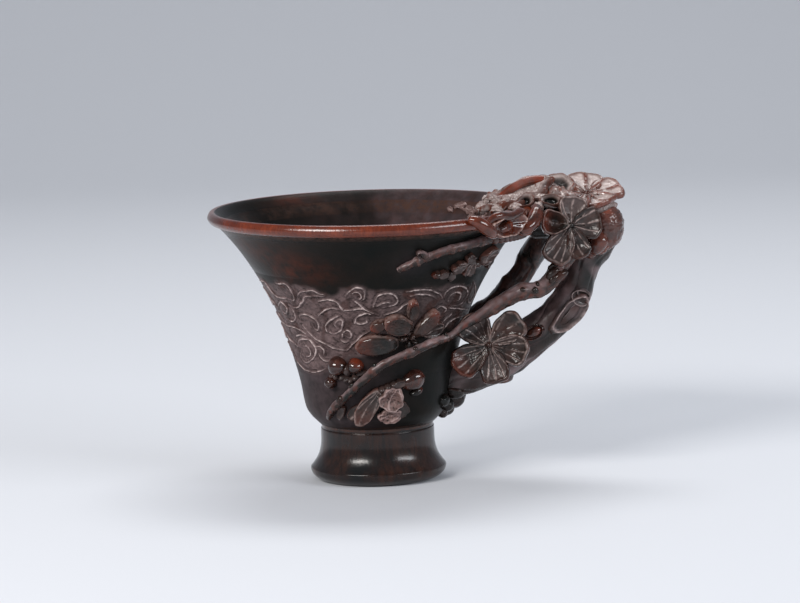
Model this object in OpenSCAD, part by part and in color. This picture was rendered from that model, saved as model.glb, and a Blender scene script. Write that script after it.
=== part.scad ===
// Horn drinking cup: a flared bowl on a waisted foot, with a handle carved as
// a flowering plum branch that grows out of the wall and rises over the lip.
// The origin is the centre of the face that the cup rests on, +Z is up, +X
// points to the handle, and -Y is the side with the raised blossoms.

/* [Cup] */
// Widest diameter of the mouth, across the lip
mouth_d = 118; // [106:1:130]
// Height of the bowl, from the top of the foot to the top of the lip
bowl_h = 78; // [70:1:88]
// Radius of the bowl's waist, where it meets the foot
waist_r = 20.6; // [19:0.2:22.4]
// Thickness of the cup's wall
wall = 3; // [2:0.1:3.8]
// Thickness of the cup's floor
floor_t = 7; // [4:0.5:10]
// Radius of the rounding inside, where the wall meets the floor
floor_round = 9; // [6:0.5:12]
// Height of the polished lip
lip_h = 4.5; // [3.5:0.1:5.5]
// How far the lip leans out past the top of the bowl
lip_flare = 3; // [2:0.1:4]
// How far the lip's lower edge stands proud of the bowl
lip_step = 0.6; // [0.3:0.05:1]

/* [Foot] */
// Height of the foot
foot_h = 20.5; // [17:0.5:24]
// Radius of the foot at its sharp ridge
foot_r = 24.5; // [23.5:0.1:27]
// Radius of the flat face that the cup rests on
rest_r = 20; // [17:0.2:22]

/* [Handle] */
// How far the middle of the trunk stands off the wall at most
handle_reach = 36; // [32:0.5:40]
// Radius of the trunk at its thickest, below the crown
trunk_r = 8; // [7:0.1:9]
// Length of the cut stump under the trunk
stump_len = 8.5; // [7:0.5:10]
// Radius of the front branch where it leaves the crown
branch_r = 3.2; // [2.6:0.1:3.8]
// Radius of the rear branch where it leaves the crown
rear_branch_r = 4.6; // [4:0.1:5.2]
// Radius of the bridge that ties the trunk to the lip
bridge_r = 6; // [5.2:0.1:6.6]
// Radius of the twig in relief below the lip
twig_r = 1.5; // [1.1:0.1:1.9]
// Length of the crown, along the handle
crown_len = 36; // [32:1:40]
// Height of the crown above the lip
crown_h = 6; // [5:0.1:7]

/* [Blossoms] */
// Radius of the blossom on the outer side of the trunk
low_blossom_r = 14; // [12:0.5:16]
// Radius of the blossom that faces the front of the crown
front_blossom_r = 12.5; // [11:0.5:14]
// Radius of the blossom on top of the crown
top_blossom_r = 13.5; // [12:0.5:15]
// Depth of a blossom's cup
blossom_cup = 3.4; // [2.6:0.1:4.2]
// Thickness of a petal's rolled edge
petal_t = 1.6; // [1.2:0.1:2.2]

/* [Relief] */
// Height of the petals and buds that are carved on the wall
relief_h = 3.2; // [2.4:0.1:4]
// Length of the largest petal that is carved on the wall
relief_petal = 14.5; // [13:0.5:16]
// Width of a carved scroll line
scroll_w = 1.3; // [1:0.1:1.6]
// Height of a carved scroll line
scroll_h = 0.8; // [0.5:0.05:1.1]
// Clearance between pieces that seat on each other
seat = 0.1; // [0.06:0.01:0.2]

/* [Hidden] */

body_h = bowl_h - lip_h;
body_top = foot_h + body_h;
cup_h = foot_h + bowl_h;
mouth_r = mouth_d / 2;
bowl_top_r = mouth_r - lip_flare;
// Degrees of arc for a length of one radius
radian = 180 / PI;
// Short step over which a slope is measured
probe = bowl_h / 160;
// Sides of the thick limbs and of the thin twigs
limb_sides = 16;
twig_sides = 10;
// Spokes of a petal in relief and of one petal of an open blossom
petal_spokes = 12;
blossom_spokes = 8;
petal_count = 5;

// The bowl's outline: share of its height, share of its spread
bowl_shares = [[0, 0], [0.019, 0.04], [0.046, 0.093], [0.08, 0.136],
    [0.13, 0.161], [0.21, 0.189], [0.32, 0.246], [0.43, 0.311], [0.54, 0.39],
    [0.65, 0.492], [0.755, 0.616], [0.865, 0.763], [0.945, 0.893], [1, 1]];
// The lip's outer and top outline: share of its thickness, share of its height
lip_shares = [[0.84, 0.14], [0.96, 0.36], [1, 0.58], [0.97, 0.8],
    [0.87, 0.96], [0.74, 1], [0.6, 0.96], [0.5, 0.84]];
// The foot's rounded underside and its waisted side: share of the height,
// share of the spread past the waist
underside_shares = [[0.03, 0.3], [0.08, 0.66], [0.14, 0.88], [0.21, 1]];
waist_shares = [[0.25, 0.96], [0.34, 0.76], [0.46, 0.27], [0.56, 0.05],
    [0.68, -0.03], [0.93, -0.03], [1, 0]];

// A smooth curve through the points p, with n steps between neighbours
function curve_point(p, i, t) =
    let (a = p[max(i - 1, 0)], b = p[i], c = p[i + 1], d = p[min(i + 2, len(p) - 1)])
    b + t / 2 * ((c - a) + t * ((2 * a - 5 * b + 4 * c - d) + t * (3 * (b - c) + d - a)));
function smooth(p, n) =
    [for (i = [0 : len(p) - 2], k = [0 : n - 1]) curve_point(p, i, k / n), p[len(p) - 1]];
function unit(v) = v / norm(v);
function mix(a, b, t) = a + (b - a) * t;
// The value at share s along a list
function along(list, s) =
    let (i = max(0, min(s, 1)) * (len(list) - 1), k = min(floor(i), len(list) - 2))
    mix(list[k], list[k + 1], i - k);

// The wall: height and radius pairs, up the bowl and on to the lip's bead
bowl_edge = [for (p = smooth(bowl_shares, 3))
    [foot_h + body_h * p[0], mix(waist_r, bowl_top_r, p[1])]];
function bowl_r(z) = lookup(z, bowl_edge);
function bowl_slope(z) = (bowl_r(z + probe) - bowl_r(z - probe)) / (2 * probe);
function inner_r(z) = bowl_r(z) - wall * norm([1, bowl_slope(min(z, body_top - probe))]);
lip_t = mouth_r - inner_r(body_top);
lip_edge = [for (p = smooth(lip_shares, 2))
    [inner_r(body_top) + lip_t * p[0], body_top + lip_h * p[1]]];
wall_edge = concat(bowl_edge, [for (p = lip_edge) if (p[0] >= mouth_r - lip_step
    && p[1] < body_top + lip_h * 0.59) [p[1], p[0]]]);
function wall_r(z) = lookup(z, wall_edge);
function wall_slope(z) = (wall_r(z + probe) - wall_r(z - probe)) / (2 * probe);

// The point at an angle round the cup, a height, and a distance off the wall
function off_wall(angle, z, off) =
    let (r = wall_r(z) + off) [r * cos(angle), r * sin(angle), z];
// Heights are written as shares of the bowl's height
function at_height(share) = foot_h + bowl_h * share;

// A skin is a function of three lengths: u to the right and v up along a
// surface, and h straight out of it. This one lies on the cup's wall.
function wall_skin(angle, height_share) =
    let (z0 = at_height(height_share), lean0 = atan(wall_slope(z0)))
    function (u, v, h)
        let (z = z0 + v * cos(lean0), r = wall_r(z), lean = atan(wall_slope(z)),
            a = angle + u / r * radian)
        [(r + h * cos(lean)) * cos(a), (r + h * cos(lean)) * sin(a), z - h * sin(lean)];
// This one lies inside the mouth
function mouth_skin(angle, height_share) =
    let (z0 = at_height(height_share), lean0 = atan(bowl_slope(z0)))
    function (u, v, h)
        let (z = z0 + v * cos(lean0), lean = atan(bowl_slope(z)),
            r = inner_r(z) - h * cos(lean), a = angle - u / inner_r(z) * radian)
        [r * cos(a), r * sin(a), z + h * sin(lean)];
// This one is upright, against the lip's outermost line
function rim_skin(angle, height_share) =
    function (u, v, h)
        let (r = mouth_r + h, a = angle + u / r * radian)
        [r * cos(a), r * sin(a), at_height(height_share) + v];
// This one is flat, through a point, square to a direction
function flat_skin(at, out, up) =
    let (n = unit(out), right = unit(cross(up, n)), top = cross(n, right))
    function (u, v, h) at + u * right + v * top + h * n;

// The faces of a closed shape made of a pole, rings of points, and a pole
function ring_faces(rings, sides) = concat(
    [for (j = [0 : sides - 1]) [0, 1 + (j + 1) % sides, 1 + j]],
    [for (k = [0 : rings - 2], j = [0 : sides - 1])
        let (a = 1 + k * sides + j, b = 1 + k * sides + (j + 1) % sides)
        each [[a, b, b + sides], [a, b + sides, a + sides]]],
    [for (j = [0 : sides - 1])
        let (last = 1 + (rings - 1) * sides)
        [last + j, last + (j + 1) % sides, last + sides]]);
module ringed(first_pole, rings, last_pole) {
    sides = len(rings[0]);
    points = concat([first_pole], [for (ring = rings) each ring], [last_pole]);
    polyhedron(points, ring_faces(len(rings), sides));
}

// A round limb along a line of centres. A hugging limb is pressed against
// the cup, so that what would lie inside the wall follows the wall instead.
function hug(p) =
    let (need = wall_r(p[2]) + seat, r = norm([p[0], p[1]]))
    r < need && p[2] < cup_h ? [p[0] * need / r, p[1] * need / r, p[2]] : p;
function limb_ring(line, i, r, sides, side_way) =
    let (ahead = unit(line[min(i + 1, len(line) - 1)] - line[max(i - 1, 0)]),
        u = unit(cross(ahead, side_way)), v = cross(u, ahead))
    [for (j = [0 : sides - 1])
        let (a = 360 * j / sides) line[i] + r * (cos(a) * u + sin(a) * v)];
module limb(line, radii, sides, side_way, hugging = false) {
    last = len(line) - 1;
    rings = [for (i = [0 : last]) let (ring = limb_ring(line, i, radii[i], sides, side_way))
        hugging ? [for (p = ring) hug(p)] : ring];
    ends = hugging ? [hug(line[0]), hug(line[last])] : [line[0], line[last]];
    ringed(ends[0], rings, ends[1]);
}

// A petal or bud on a skin. Size is its length and width, turn swings it
// anticlockwise, and the crest gives its height from middle to edge.
dome_crest_shares = [[0, 1], [0.5, 0.88], [0.8, 0.62], [1, 0.2]];
petal_crest_shares = [[0, 0.5], [0.5, 0.62], [0.82, 1], [1, 0.45]];
module pad(skin, at, size, turn, rise, crest, spokes = petal_spokes) {
    function spot(share, j, h) =
        let (a = 360 * j / spokes, x = size[0] / 2 * share * cos(a),
            y = size[1] / 2 * share * sin(a))
        skin(at[0] + x * cos(turn) - y * sin(turn), at[1] + x * sin(turn) + y * cos(turn), h);
    steps = [for (c = crest) if (c[0] > 0) c];
    rings = concat(
        [for (c = steps) [for (j = [0 : spokes - 1]) spot(c[0], j, seat + rise * c[1])]],
        [for (share = spokes > petal_spokes ? [1, 0.67, 0.33] : [1, 0.5]) [for (j = [0 : spokes - 1]) spot(share, j, seat)]]);
    ringed(skin(at[0], at[1], seat + rise * crest[0][1]), rings, skin(at[0], at[1], seat));
}

// An open blossom with five cupped petals, grown from a root behind it.
// Rings go from the boss over the petals, round their edge and to the root.
blossom_ring_shares = [[0.1, 0.32], [0.19, 0.02], [0.45, 0.16], [0.72, 0.5],
    [0.9, 1], [1, 0.86]];
blossom_crease_share = 0.36;
blossom_boss_share = 0.36;
function petal_reach(a) =
    1 - blossom_crease_share * (1 - pow(abs(cos(a * petal_count / 2)), 0.7));
module blossom(at, out, up, r, turn, root) {
    skin = flat_skin(at, out, up);
    spokes = petal_count * blossom_spokes;
    function spot(share, j, h) =
        let (a = 360 * j / spokes, reach = share * r * mix(1, petal_reach(a), share))
        skin(reach * cos(a + turn), reach * sin(a + turn), h);
    function cup(share, j) =
        let (a = 360 * j / spokes, crease = 1 - abs(cos(a * petal_count / 2)))
        blossom_cup * share * (1 - blossom_crease_share * crease);
    rings = concat(
        [for (s = blossom_ring_shares)
            [for (j = [0 : spokes - 1]) spot(s[0], j, cup(s[1], j))]],
        [[for (j = [0 : spokes - 1]) spot(0.97, j, cup(0.8, j) - petal_t)],
            [for (j = [0 : spokes - 1]) spot(0.3, j, -petal_t)]]);
    ringed(skin(0, 0, blossom_cup * blossom_boss_share), rings, root);
}

// A carved scroll line on the wall, along places of angle and height share
module scroll(places) {
    way = [for (p = smooth(places, 3)) [p[0], at_height(p[1])]];
    last = len(way) - 1;
    rings = [for (i = [0 : last])
        let (a = way[max(i - 1, 0)], b = way[min(i + 1, last)], p = way[i],
            r = wall_r(p[1]), lean = atan(wall_slope(p[1])),
            ahead = unit([(b[0] - a[0]) / radian * r, (b[1] - a[1]) / cos(lean)]),
            taper = i == 0 || i == last ? 0.4 : 1,
            du = -ahead[1] * scroll_w / 2 * taper, dv = ahead[0] * scroll_w / 2 * taper)
        [off_wall(p[0] - du / r * radian, p[1] - dv * cos(lean), seat),
            off_wall(p[0], p[1], seat + scroll_h * taper),
            off_wall(p[0] + du / r * radian, p[1] + dv * cos(lean), seat)]];
    function middle(ring) = (ring[0] + ring[1] + ring[2]) / 3;
    ringed(middle(rings[0]), rings, middle(rings[last]));
}

// The trunk: share of the bowl's height, share of the handle's reach,
// share of the trunk's radius
trunk_shares = [[0.16, -0.14, 0.8], [0.2, 0.09, 0.9], [0.23, 0.26, 0.95],
    [0.277, 0.45, 0.98], [0.345, 0.64, 0.92], [0.428, 0.83, 0.875],
    [0.513, 0.955, 0.81], [0.59, 0.99, 0.77], [0.66, 0.955, 0.78],
    [0.75, 0.92, 0.875], [0.84, 0.885, 1], [0.9, 0.8, 1],
    [0.945, 0.68, 0.95]];
trunk_route = smooth(trunk_shares, 2);
trunk_line = [for (p = trunk_route) off_wall(0, at_height(p[0]), handle_reach * p[1])];
trunk_radii = [for (p = trunk_route) trunk_r * p[2]];
function trunk_at(s) = along(trunk_line, s);
function trunk_way(s) = unit(trunk_at(s + 0.03) - trunk_at(s - 0.03));
// The unit direction out of the trunk's skin: 0 is outward, 90 to the front
function trunk_out(s, around) =
    let (away = cross(trunk_way(s), [0, -1, 0]))
    cos(around) * away + sin(around) * [0, -1, 0];
trunk_length = norm(trunk_at(1) - trunk_at(0.6)) + norm(trunk_at(0.6) - trunk_at(0.3))
    + norm(trunk_at(0.3) - trunk_at(0));
// A skin on the trunk: v runs up the trunk and u round it
function trunk_skin(s0, around) =
    function (u, v, h)
        let (s = s0 + v / trunk_length, r = along(trunk_radii, s))
        trunk_at(s) + (r + h) * trunk_out(s, around - u / r * radian);
// A place beside the trunk, in shares of its radius: out, aside and up
function by_trunk(s, shares) = trunk_at(s) + trunk_r * shares;

// The room that the cup's outside takes, which what seats on it is cut by
module cup_room() {
    rotate_extrude($fn = 96)
        polygon(concat([[0, foot_h]],
            [for (p = bowl_edge) if (p[0] < body_top - seat) [p[1] + seat, p[0]]],
            [[bowl_top_r + lip_step + seat, body_top - seat]],
            [for (p = lip_edge) if (p[1] < body_top + lip_h / 2) [p[0] + seat, p[1] - seat]],
            [[mouth_r + seat, body_top + lip_h / 2], [mouth_r + seat, cup_h + seat],
            [0, cup_h + seat]]));
}

module bowl() {
    floor_top = foot_h + floor_t;
    round_top = floor_top + floor_round;
    inside = [for (p = bowl_edge) if (p[0] > round_top) [inner_r(p[0]), p[0]]];
    corner = [for (a = [90 : -15 : 0])
        [inner_r(round_top) - floor_round * (1 - sin(a)), round_top - floor_round * cos(a)]];
    color("#35231c") rotate_extrude($fn = 96)
        polygon(concat([[0, foot_h]], [for (p = bowl_edge) [p[1], p[0]]],
            [for (i = [len(inside) - 1 : -1 : 0]) inside[i]], corner, [[0, floor_top]]));
}

module lip() {
    color("#8a3a1e") rotate_extrude($fn = 96)
        polygon(concat([[inner_r(body_top), body_top], [bowl_top_r + lip_step, body_top]],
            lip_edge));
}

module foot() {
    spread = foot_r - waist_r;
    under = smooth(concat([[0, (rest_r - waist_r) / spread]], underside_shares), 2);
    side = smooth(waist_shares, 2);
    color("#201814") rotate_extrude($fn = 96)
        polygon(concat([[0, 0]],
            [for (p = concat(under, side)) [waist_r + spread * p[1], foot_h * p[0]]],
            [[0, foot_h]]));
}

module trunk_solid(grow) {
    limb(trunk_line, [for (r = trunk_radii) r + grow], limb_sides, [0, 1, 0]);
}
module trunk() {
    color("#3c2a22") difference() {
        trunk_solid(0);
        cup_room();
    }
}

// The stump: the lopped branch that points down under the trunk
stump_route_shares = [[0, 0.72], [0.55, 0.7], [0.9, 0.66], [1, 0.5]];
module trunk_stump() {
    top = trunk_at(0.25);
    line = [for (p = stump_route_shares)
        top + [-stump_len * 0.12, stump_len * 0.2, -stump_len] * p[0]];
    color("#33241d") difference() {
        limb(line, [for (p = stump_route_shares) trunk_r * p[1]], limb_sides, [0, 1, 0]);
        trunk_solid(seat);
    }
}

// The oval scar of a lost branch, with a raised ring
scar_crest_shares = [[0, 0.25], [0.55, 0.35], [0.8, 1], [1, 0.4]];
module trunk_scar() {
    color("#5a3f33")
        pad(trunk_skin(0.505, 66), [0, 0], [trunk_r * 0.85, trunk_r * 2], -8,
            trunk_r * 0.17, scar_crest_shares, limb_sides);
}
module trunk_eye() {
    color("#4a3329")
        pad(trunk_skin(0.38, 104), [0, 0], [trunk_r * 0.6, trunk_r * 0.78], 10,
            trunk_r * 0.2, scar_crest_shares);
}
// The smooth fold of bark that runs up the trunk under the crown
module trunk_bark() {
    color("#6b2f1d")
        pad(trunk_skin(0.89, 30), [0, 0], [trunk_r * 1.12, trunk_r * 2.2], 0,
            trunk_r * 0.32, dome_crest_shares, limb_sides);
}

// The front branch: angle, height share, stand-off share, radius share.
// It leaves the crown, dips past the trunk and runs undercut along the wall.
front_branch_shares = [[-134.4, 0.056, 0, 0.3], [-126, 0.095, 0.05, 0.42],
    [-118.4, 0.132, 0.083, 0.44], [-106.3, 0.201, 0.095, 0.47],
    [-95.5, 0.268, 0.105, 0.48], [-87, 0.319, 0.11, 0.48],
    [-75.9, 0.358, 0.11, 0.48], [-66, 0.383, 0.11, 0.5], [-55.8, 0.412, 0.11, 0.5],
    [-47.4, 0.42, 0.105, 0.53], [-41.3, 0.422, 0.115, 0.56], [-34.4, 0.46, 0.165, 0.62],
    [-27.1, 0.515, 0.255, 0.74], [-22, 0.572, 0.356, 0.86], [-19.4, 0.596, 0.422, 0.9],
    [-17.6, 0.616, 0.498, 0.92], [-15.4, 0.62, 0.625, 0.88], [-13.5, 0.646, 0.684, 0.95],
    [-12.1, 0.69, 0.709, 1], [-10.1, 0.733, 0.702, 1]];
front_branch_route = smooth(front_branch_shares, 2);
front_branch_line = concat(
    [for (p = front_branch_route) off_wall(p[0], at_height(p[1]), handle_reach * p[2])],
    [by_trunk(0.87, [-0.5, -0.45, 0])]);
front_branch_radii = concat([for (p = front_branch_route) branch_r * p[3]], [branch_r * 1.1]);
module front_branch_solid(grow) {
    limb(front_branch_line, [for (r = front_branch_radii) r + grow], twig_sides, [0, 0, 1],
        hugging = true);
}
module front_branch() {
    color("#4a3028") difference() {
        front_branch_solid(0);
        trunk_solid(seat);
        bridge_solid(seat);
    }
}
// A place on the front branch's own skin
function branch_skin(s0, around) =
    function (u, v, h)
        let (n = len(front_branch_line) - 1, s = s0 + v / (branch_r * 46),
            at = along(front_branch_line, s), r = along(front_branch_radii, s),
            ahead = unit(along(front_branch_line, s + 1 / n) - along(front_branch_line, s - 1 / n)),
            side = unit(cross(ahead, [0, 0, 1])), top = cross(side, ahead),
            a = around - u / r * radian)
        at + (r + h) * (cos(a) * side + sin(a) * top);
branch_bud_shares = [[0.89, 50, 2.3], [0.905, -5, 2.6]];
module branch_buds() {
    color("#6b4a3c") for (b = branch_bud_shares)
        pad(branch_skin(b[0], b[1]), [0, 0], [branch_r * 0.9, branch_r * b[2]], 0,
            branch_r * 0.45, dome_crest_shares);
}
branch_knot_shares = [[0.745, 20], [0.785, 10], [0.8, 50]];
module branch_knots() {
    color("#7a3a26") for (b = branch_knot_shares)
        pad(branch_skin(b[0], b[1]), [0, 0], [branch_r * 0.6, branch_r * 0.75], 0,
            branch_r * 0.22, dome_crest_shares);
}

// The rear branch mirrors it behind the cup and ends in relief on the wall
rear_branch_shares = [[128, 0.1, 0, 0.26], [118, 0.15, 0.07, 0.33],
    [104, 0.22, 0.085, 0.36], [90, 0.28, 0.1, 0.38], [75, 0.325, 0.11, 0.4],
    [60, 0.36, 0.12, 0.42], [47, 0.39, 0.14, 0.48], [36, 0.42, 0.2, 0.6],
    [28, 0.46, 0.29, 0.7], [22, 0.51, 0.36, 0.76], [18, 0.575, 0.41, 0.84],
    [15.5, 0.65, 0.46, 0.92], [13.5, 0.74, 0.445, 1]];
rear_branch_route = smooth(rear_branch_shares, 2);
module rear_branch() {
    line = concat(
        [for (p = rear_branch_route) off_wall(p[0], at_height(p[1]), handle_reach * p[2])],
        [along(bridge_line, 0.55)]);
    color("#3a2922") difference() {
        limb(line, concat([for (p = rear_branch_route) rear_branch_r * p[3]],
            [rear_branch_r]), twig_sides, [0, 0, 1], hugging = true);
        bridge_solid(seat);
        trunk_solid(seat);
    }
}

// Knobs at the root of the trunk: angle, height share, size share
root_knob_shares = [[21, 0.055, 0.95, 0.6], [18, 0.105, 1.1, 1], [25, 0.165, 1, 0.8],
    [-24, 0.11, 0.6, 0.3]];
module root_knobs() {
    color("#2c201b") difference() {
        for (k = root_knob_shares)
            pad(wall_skin(k[0], k[1]), [0, 0], [trunk_r, trunk_r] * k[2], 0, trunk_r * k[3],
                dome_crest_shares, limb_sides);
        trunk_solid(seat);
    }
}

// The bridge from the trunk's top to the lip
bridge_line = [by_trunk(1, [0.1, 0, -0.5]), by_trunk(1, [-0.8, 0, -0.4]),
    off_wall(0, at_height(0.905), handle_reach * 0.3),
    off_wall(0, at_height(0.9), bridge_r * 0.6), off_wall(0, at_height(0.885), -bridge_r * 0.3)];
module bridge_solid(grow) {
    limb(bridge_line, [for (share = [0.9, 1, 1, 0.95, 0.9]) bridge_r * share + grow],
        limb_sides, [0, 1, 0]);
}
module crown_bridge() {
    color("#43302a") difference() {
        bridge_solid(0);
        trunk_solid(seat);
        cup_room();
    }
}

// The crown: a gnarled mass that lies over the bridge and the lip
crown_mid = [mouth_r - crown_len * 0.06, crown_len * 0.06, cup_h];
crown_edge_shares = [1, 0.92, 0.78, 0.86, 0.95, 0.84, 0.97, 1, 0.88, 0.8, 0.9, 0.83, 0.76,
    0.85, 0.9, 0.96];
module crown_solid(grow) {
    skin = flat_skin(crown_mid, [0, 0, 1], [0, 1, 0]);
    function spot(share, j, h) =
        let (a = 360 * j / limb_sides,
            edge = (crown_edge_shares[j] * crown_len / 2 + grow) * share)
        skin(edge * cos(a), edge * sin(a) * 0.56, h);
    rings = concat(
        [for (s = [[0.4, 0.93], [0.75, 0.72], [0.95, 0.36], [1, 0.04]])
            [for (j = [0 : limb_sides - 1]) spot(s[0], j, seat + grow + crown_h * s[1])]],
        [[for (j = [0 : limb_sides - 1]) spot(1, j, seat - grow)]]);
    ringed(skin(0, 0, seat + grow + crown_h), rings, skin(0, 0, seat - grow));
}
module crown() {
    color("#6a4a40") difference() {
        crown_solid(0);
        top_blossom_room();
    }
}

// Leaves of the crown: place in shares of its length and height, size in
// shares of its length, the way it faces, and its turn
crown_leaf_shares = [
    [[-0.03, 0.17, 0.7], [0.66, 0.22], [-0.1, -0.8, 0.55], 25],
    [[0.07, -0.16, 0.6], [0.34, 0.13], [0, -0.6, 0.8], -6],
    [[-0.15, -0.42, 0.14], [0.5, 0.24], [0, -0.25, 0.97], -4]];
module crown_leaves() {
    color("#8a4a38") difference() {
        for (k = crown_leaf_shares) {
            at = crown_mid + [k[0][0] * crown_len, k[0][1] * crown_len, k[0][2] * crown_h];
            pad(flat_skin(at, k[2], [0, 0, 1]), [0, 0], k[1] * crown_len, k[3], crown_h * 0.4,
                petal_crest_shares, limb_sides);
        }
        crown_solid(seat * 3);
        top_blossom_room();
        cup_room();
    }
}
module crown_bud() {
    color("#7a3524")
        pad(trunk_skin(0.83, 86), [0, 0], [trunk_r * 0.6, trunk_r * 1.1], 0, trunk_r * 0.36,
            dome_crest_shares);
}

top_tilt = 21;
top_blossom_at = by_trunk(1, [-0.36, 0, 0.78]);
module top_blossom_room() {
    translate(top_blossom_at) rotate([top_tilt, 0, 0])
        translate([0, 0, -petal_t - seat]) cylinder(h = crown_h * 3, r = top_blossom_r + seat, $fn = 64);
}
module top_blossom() {
    color("#7a5a4e") difference() {
        blossom(top_blossom_at, [0, -sin(top_tilt), cos(top_tilt)], [0, 1, 0], top_blossom_r,
            18, by_trunk(1, [0, 0, 0]));
        trunk_solid(seat);
        bridge_solid(seat);
    }
}
module front_blossom() {
    color("#6e4d42") difference() {
        blossom(by_trunk(0.97, [-1.3, -1.78, -0.22]), [0.1, -0.95, 0.25], [0, 0, 1],
            front_blossom_r, 8, by_trunk(0.97, [-0.3, 0, 0]));
        trunk_solid(seat);
        bridge_solid(seat);
        front_branch_solid(seat);
    }
}
module low_blossom() {
    color("#5f4238") difference() {
        blossom(by_trunk(0.27, [-0.75, -2.08, 0.77]), [-0.1, -0.97, 0.2], [0, 0, 1], low_blossom_r,
            -3, trunk_at(0.27));
        trunk_solid(seat);
        front_branch_solid(seat);
    }
}

// Curled petals that wrap over the lip: angle, length and width shares, turn
rim_petal_shares = [[-49.5, 0.85, 0.42, -38], [-36.5, 1.1, 0.56, -3], [-21.5, 0.7, 0.5, 20]];
module rim_petals() {
    color("#a3482a") for (k = rim_petal_shares)
        pad(rim_skin(k[0], 0.962), [0, 0], [k[1], k[2]] * relief_petal, k[3], relief_h,
            petal_crest_shares);
}

// The twig in relief below the lip: angle, height share, radius share
upper_twig_shares = [[-77.5, 0.785, 0.8], [-72, 0.81, 1], [-66.5, 0.832, 1],
    [-60, 0.855, 1.05], [-53.3, 0.868, 1.1], [-46, 0.88, 1.1], [-38, 0.89, 1.1]];
module upper_twig() {
    route = smooth(upper_twig_shares, 2);
    color("#7d5f55")
        limb([for (p = route) off_wall(p[0], at_height(p[1]), twig_r * p[2] * 0.7)],
            [for (p = route) twig_r * p[2]], twig_sides, [0, 0, 1], hugging = true);
}

// Petals in relief: angle, height share, length share, width share, turn, rise share
module wall_petals(shares, crest) {
    for (k = shares)
        pad(wall_skin(k[0], k[1]), [0, 0], [k[2], k[3]] * relief_petal, k[4], relief_h * k[5],
            crest);
}
upper_blossom_petal_shares = [[-52, 0.762, 0.55, 0.4, 20, 0.6], [-43.5, 0.775, 0.6, 0.42, -10, 0.6],
    [-30, 0.79, 0.95, 0.5, 12, 0.75]];
upper_blossom_bud_shares = [[-60, 0.75, 0.3, 0.25, 0, 0.8]];
module upper_blossom() {
    color("#5b4038") wall_petals(upper_blossom_petal_shares, petal_crest_shares);
    color("#5b4038") wall_petals(upper_blossom_bud_shares, dome_crest_shares);
}
side_petal_shares = [[-90, 0.43, 1, 0.6, 3, 1], [-76.5, 0.517, 0.78, 0.56, -22, 0.9],
    [-88.5, 0.527, 0.42, 0.3, 35, 0.8], [-69, 0.594, 0.6, 0.34, -8, 0.75],
    [-61, 0.52, 0.9, 0.5, 52, 0.95]];
side_calyx_shares = [[-71.5, 0.43, 0.3, 0.28, 0, 0.7]];
module side_blossom() {
    color("#5a2c20") wall_petals(side_petal_shares, petal_crest_shares);
    color("#5a2c20") wall_petals(side_calyx_shares, dome_crest_shares);
}
bud_shares = [[-114.6, 0.322, 0.5, 0.5, 0, 1.25], [-101.8, 0.322, 0.4, 0.44, 60, 1.15],
    [-121.5, 0.238, 0.3, 0.3, 0, 0.9], [-109, 0.254, 0.36, 0.2, 10, 0.7]];
module bud_group() { color("#5e2f22") wall_petals(bud_shares, dome_crest_shares); }
relief_blossom_petal_shares = [[-95, 0.115, 0.62, 0.44, 70, 0.8], [-79.5, 0.165, 0.56, 0.46, 20, 0.9],
    [-79, 0.085, 0.5, 0.24, 8, 0.6], [-64, 0.245, 0.6, 0.42, 28, 1]];
module relief_blossom() {
    color("#6d4438") wall_petals(relief_blossom_petal_shares, petal_crest_shares);
}
rear_petal_shares = [[70, 0.47, 0.8, 0.55, 90, 0.9], [57, 0.47, 0.8, 0.55, 25, 0.9],
    [83, 0.46, 0.8, 0.55, 150, 0.9]];
module rear_blossom() { color("#5a2c20") wall_petals(rear_petal_shares, petal_crest_shares); }
rear_bud_shares = [[104, 0.33, 0.45, 0.45, 0, 1.1], [94, 0.2, 0.4, 0.42, 0, 1], [80, 0.22, 0.5, 0.36, 40, 0.9]];
module rear_buds() { color("#5e2f22") wall_petals(rear_bud_shares, dome_crest_shares); }

// A sprig in low relief inside the mouth, below the crown: place, size and
// turn of each leaf, in shares of the largest petal
mouth_sprig_shares = [[[0.34, 0.1], [0.5, 0.3], 10], [[0, 0], [0.45, 0.28], -20],
    [[-0.34, 0.1], [0.4, 0.26], 15]];
module mouth_sprig() {
    color("#6a4038") for (k = mouth_sprig_shares)
        pad(mouth_skin(44, 0.885), k[0] * relief_petal, k[1] * relief_petal, k[2],
            relief_h * 0.3, dome_crest_shares);
}

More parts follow.
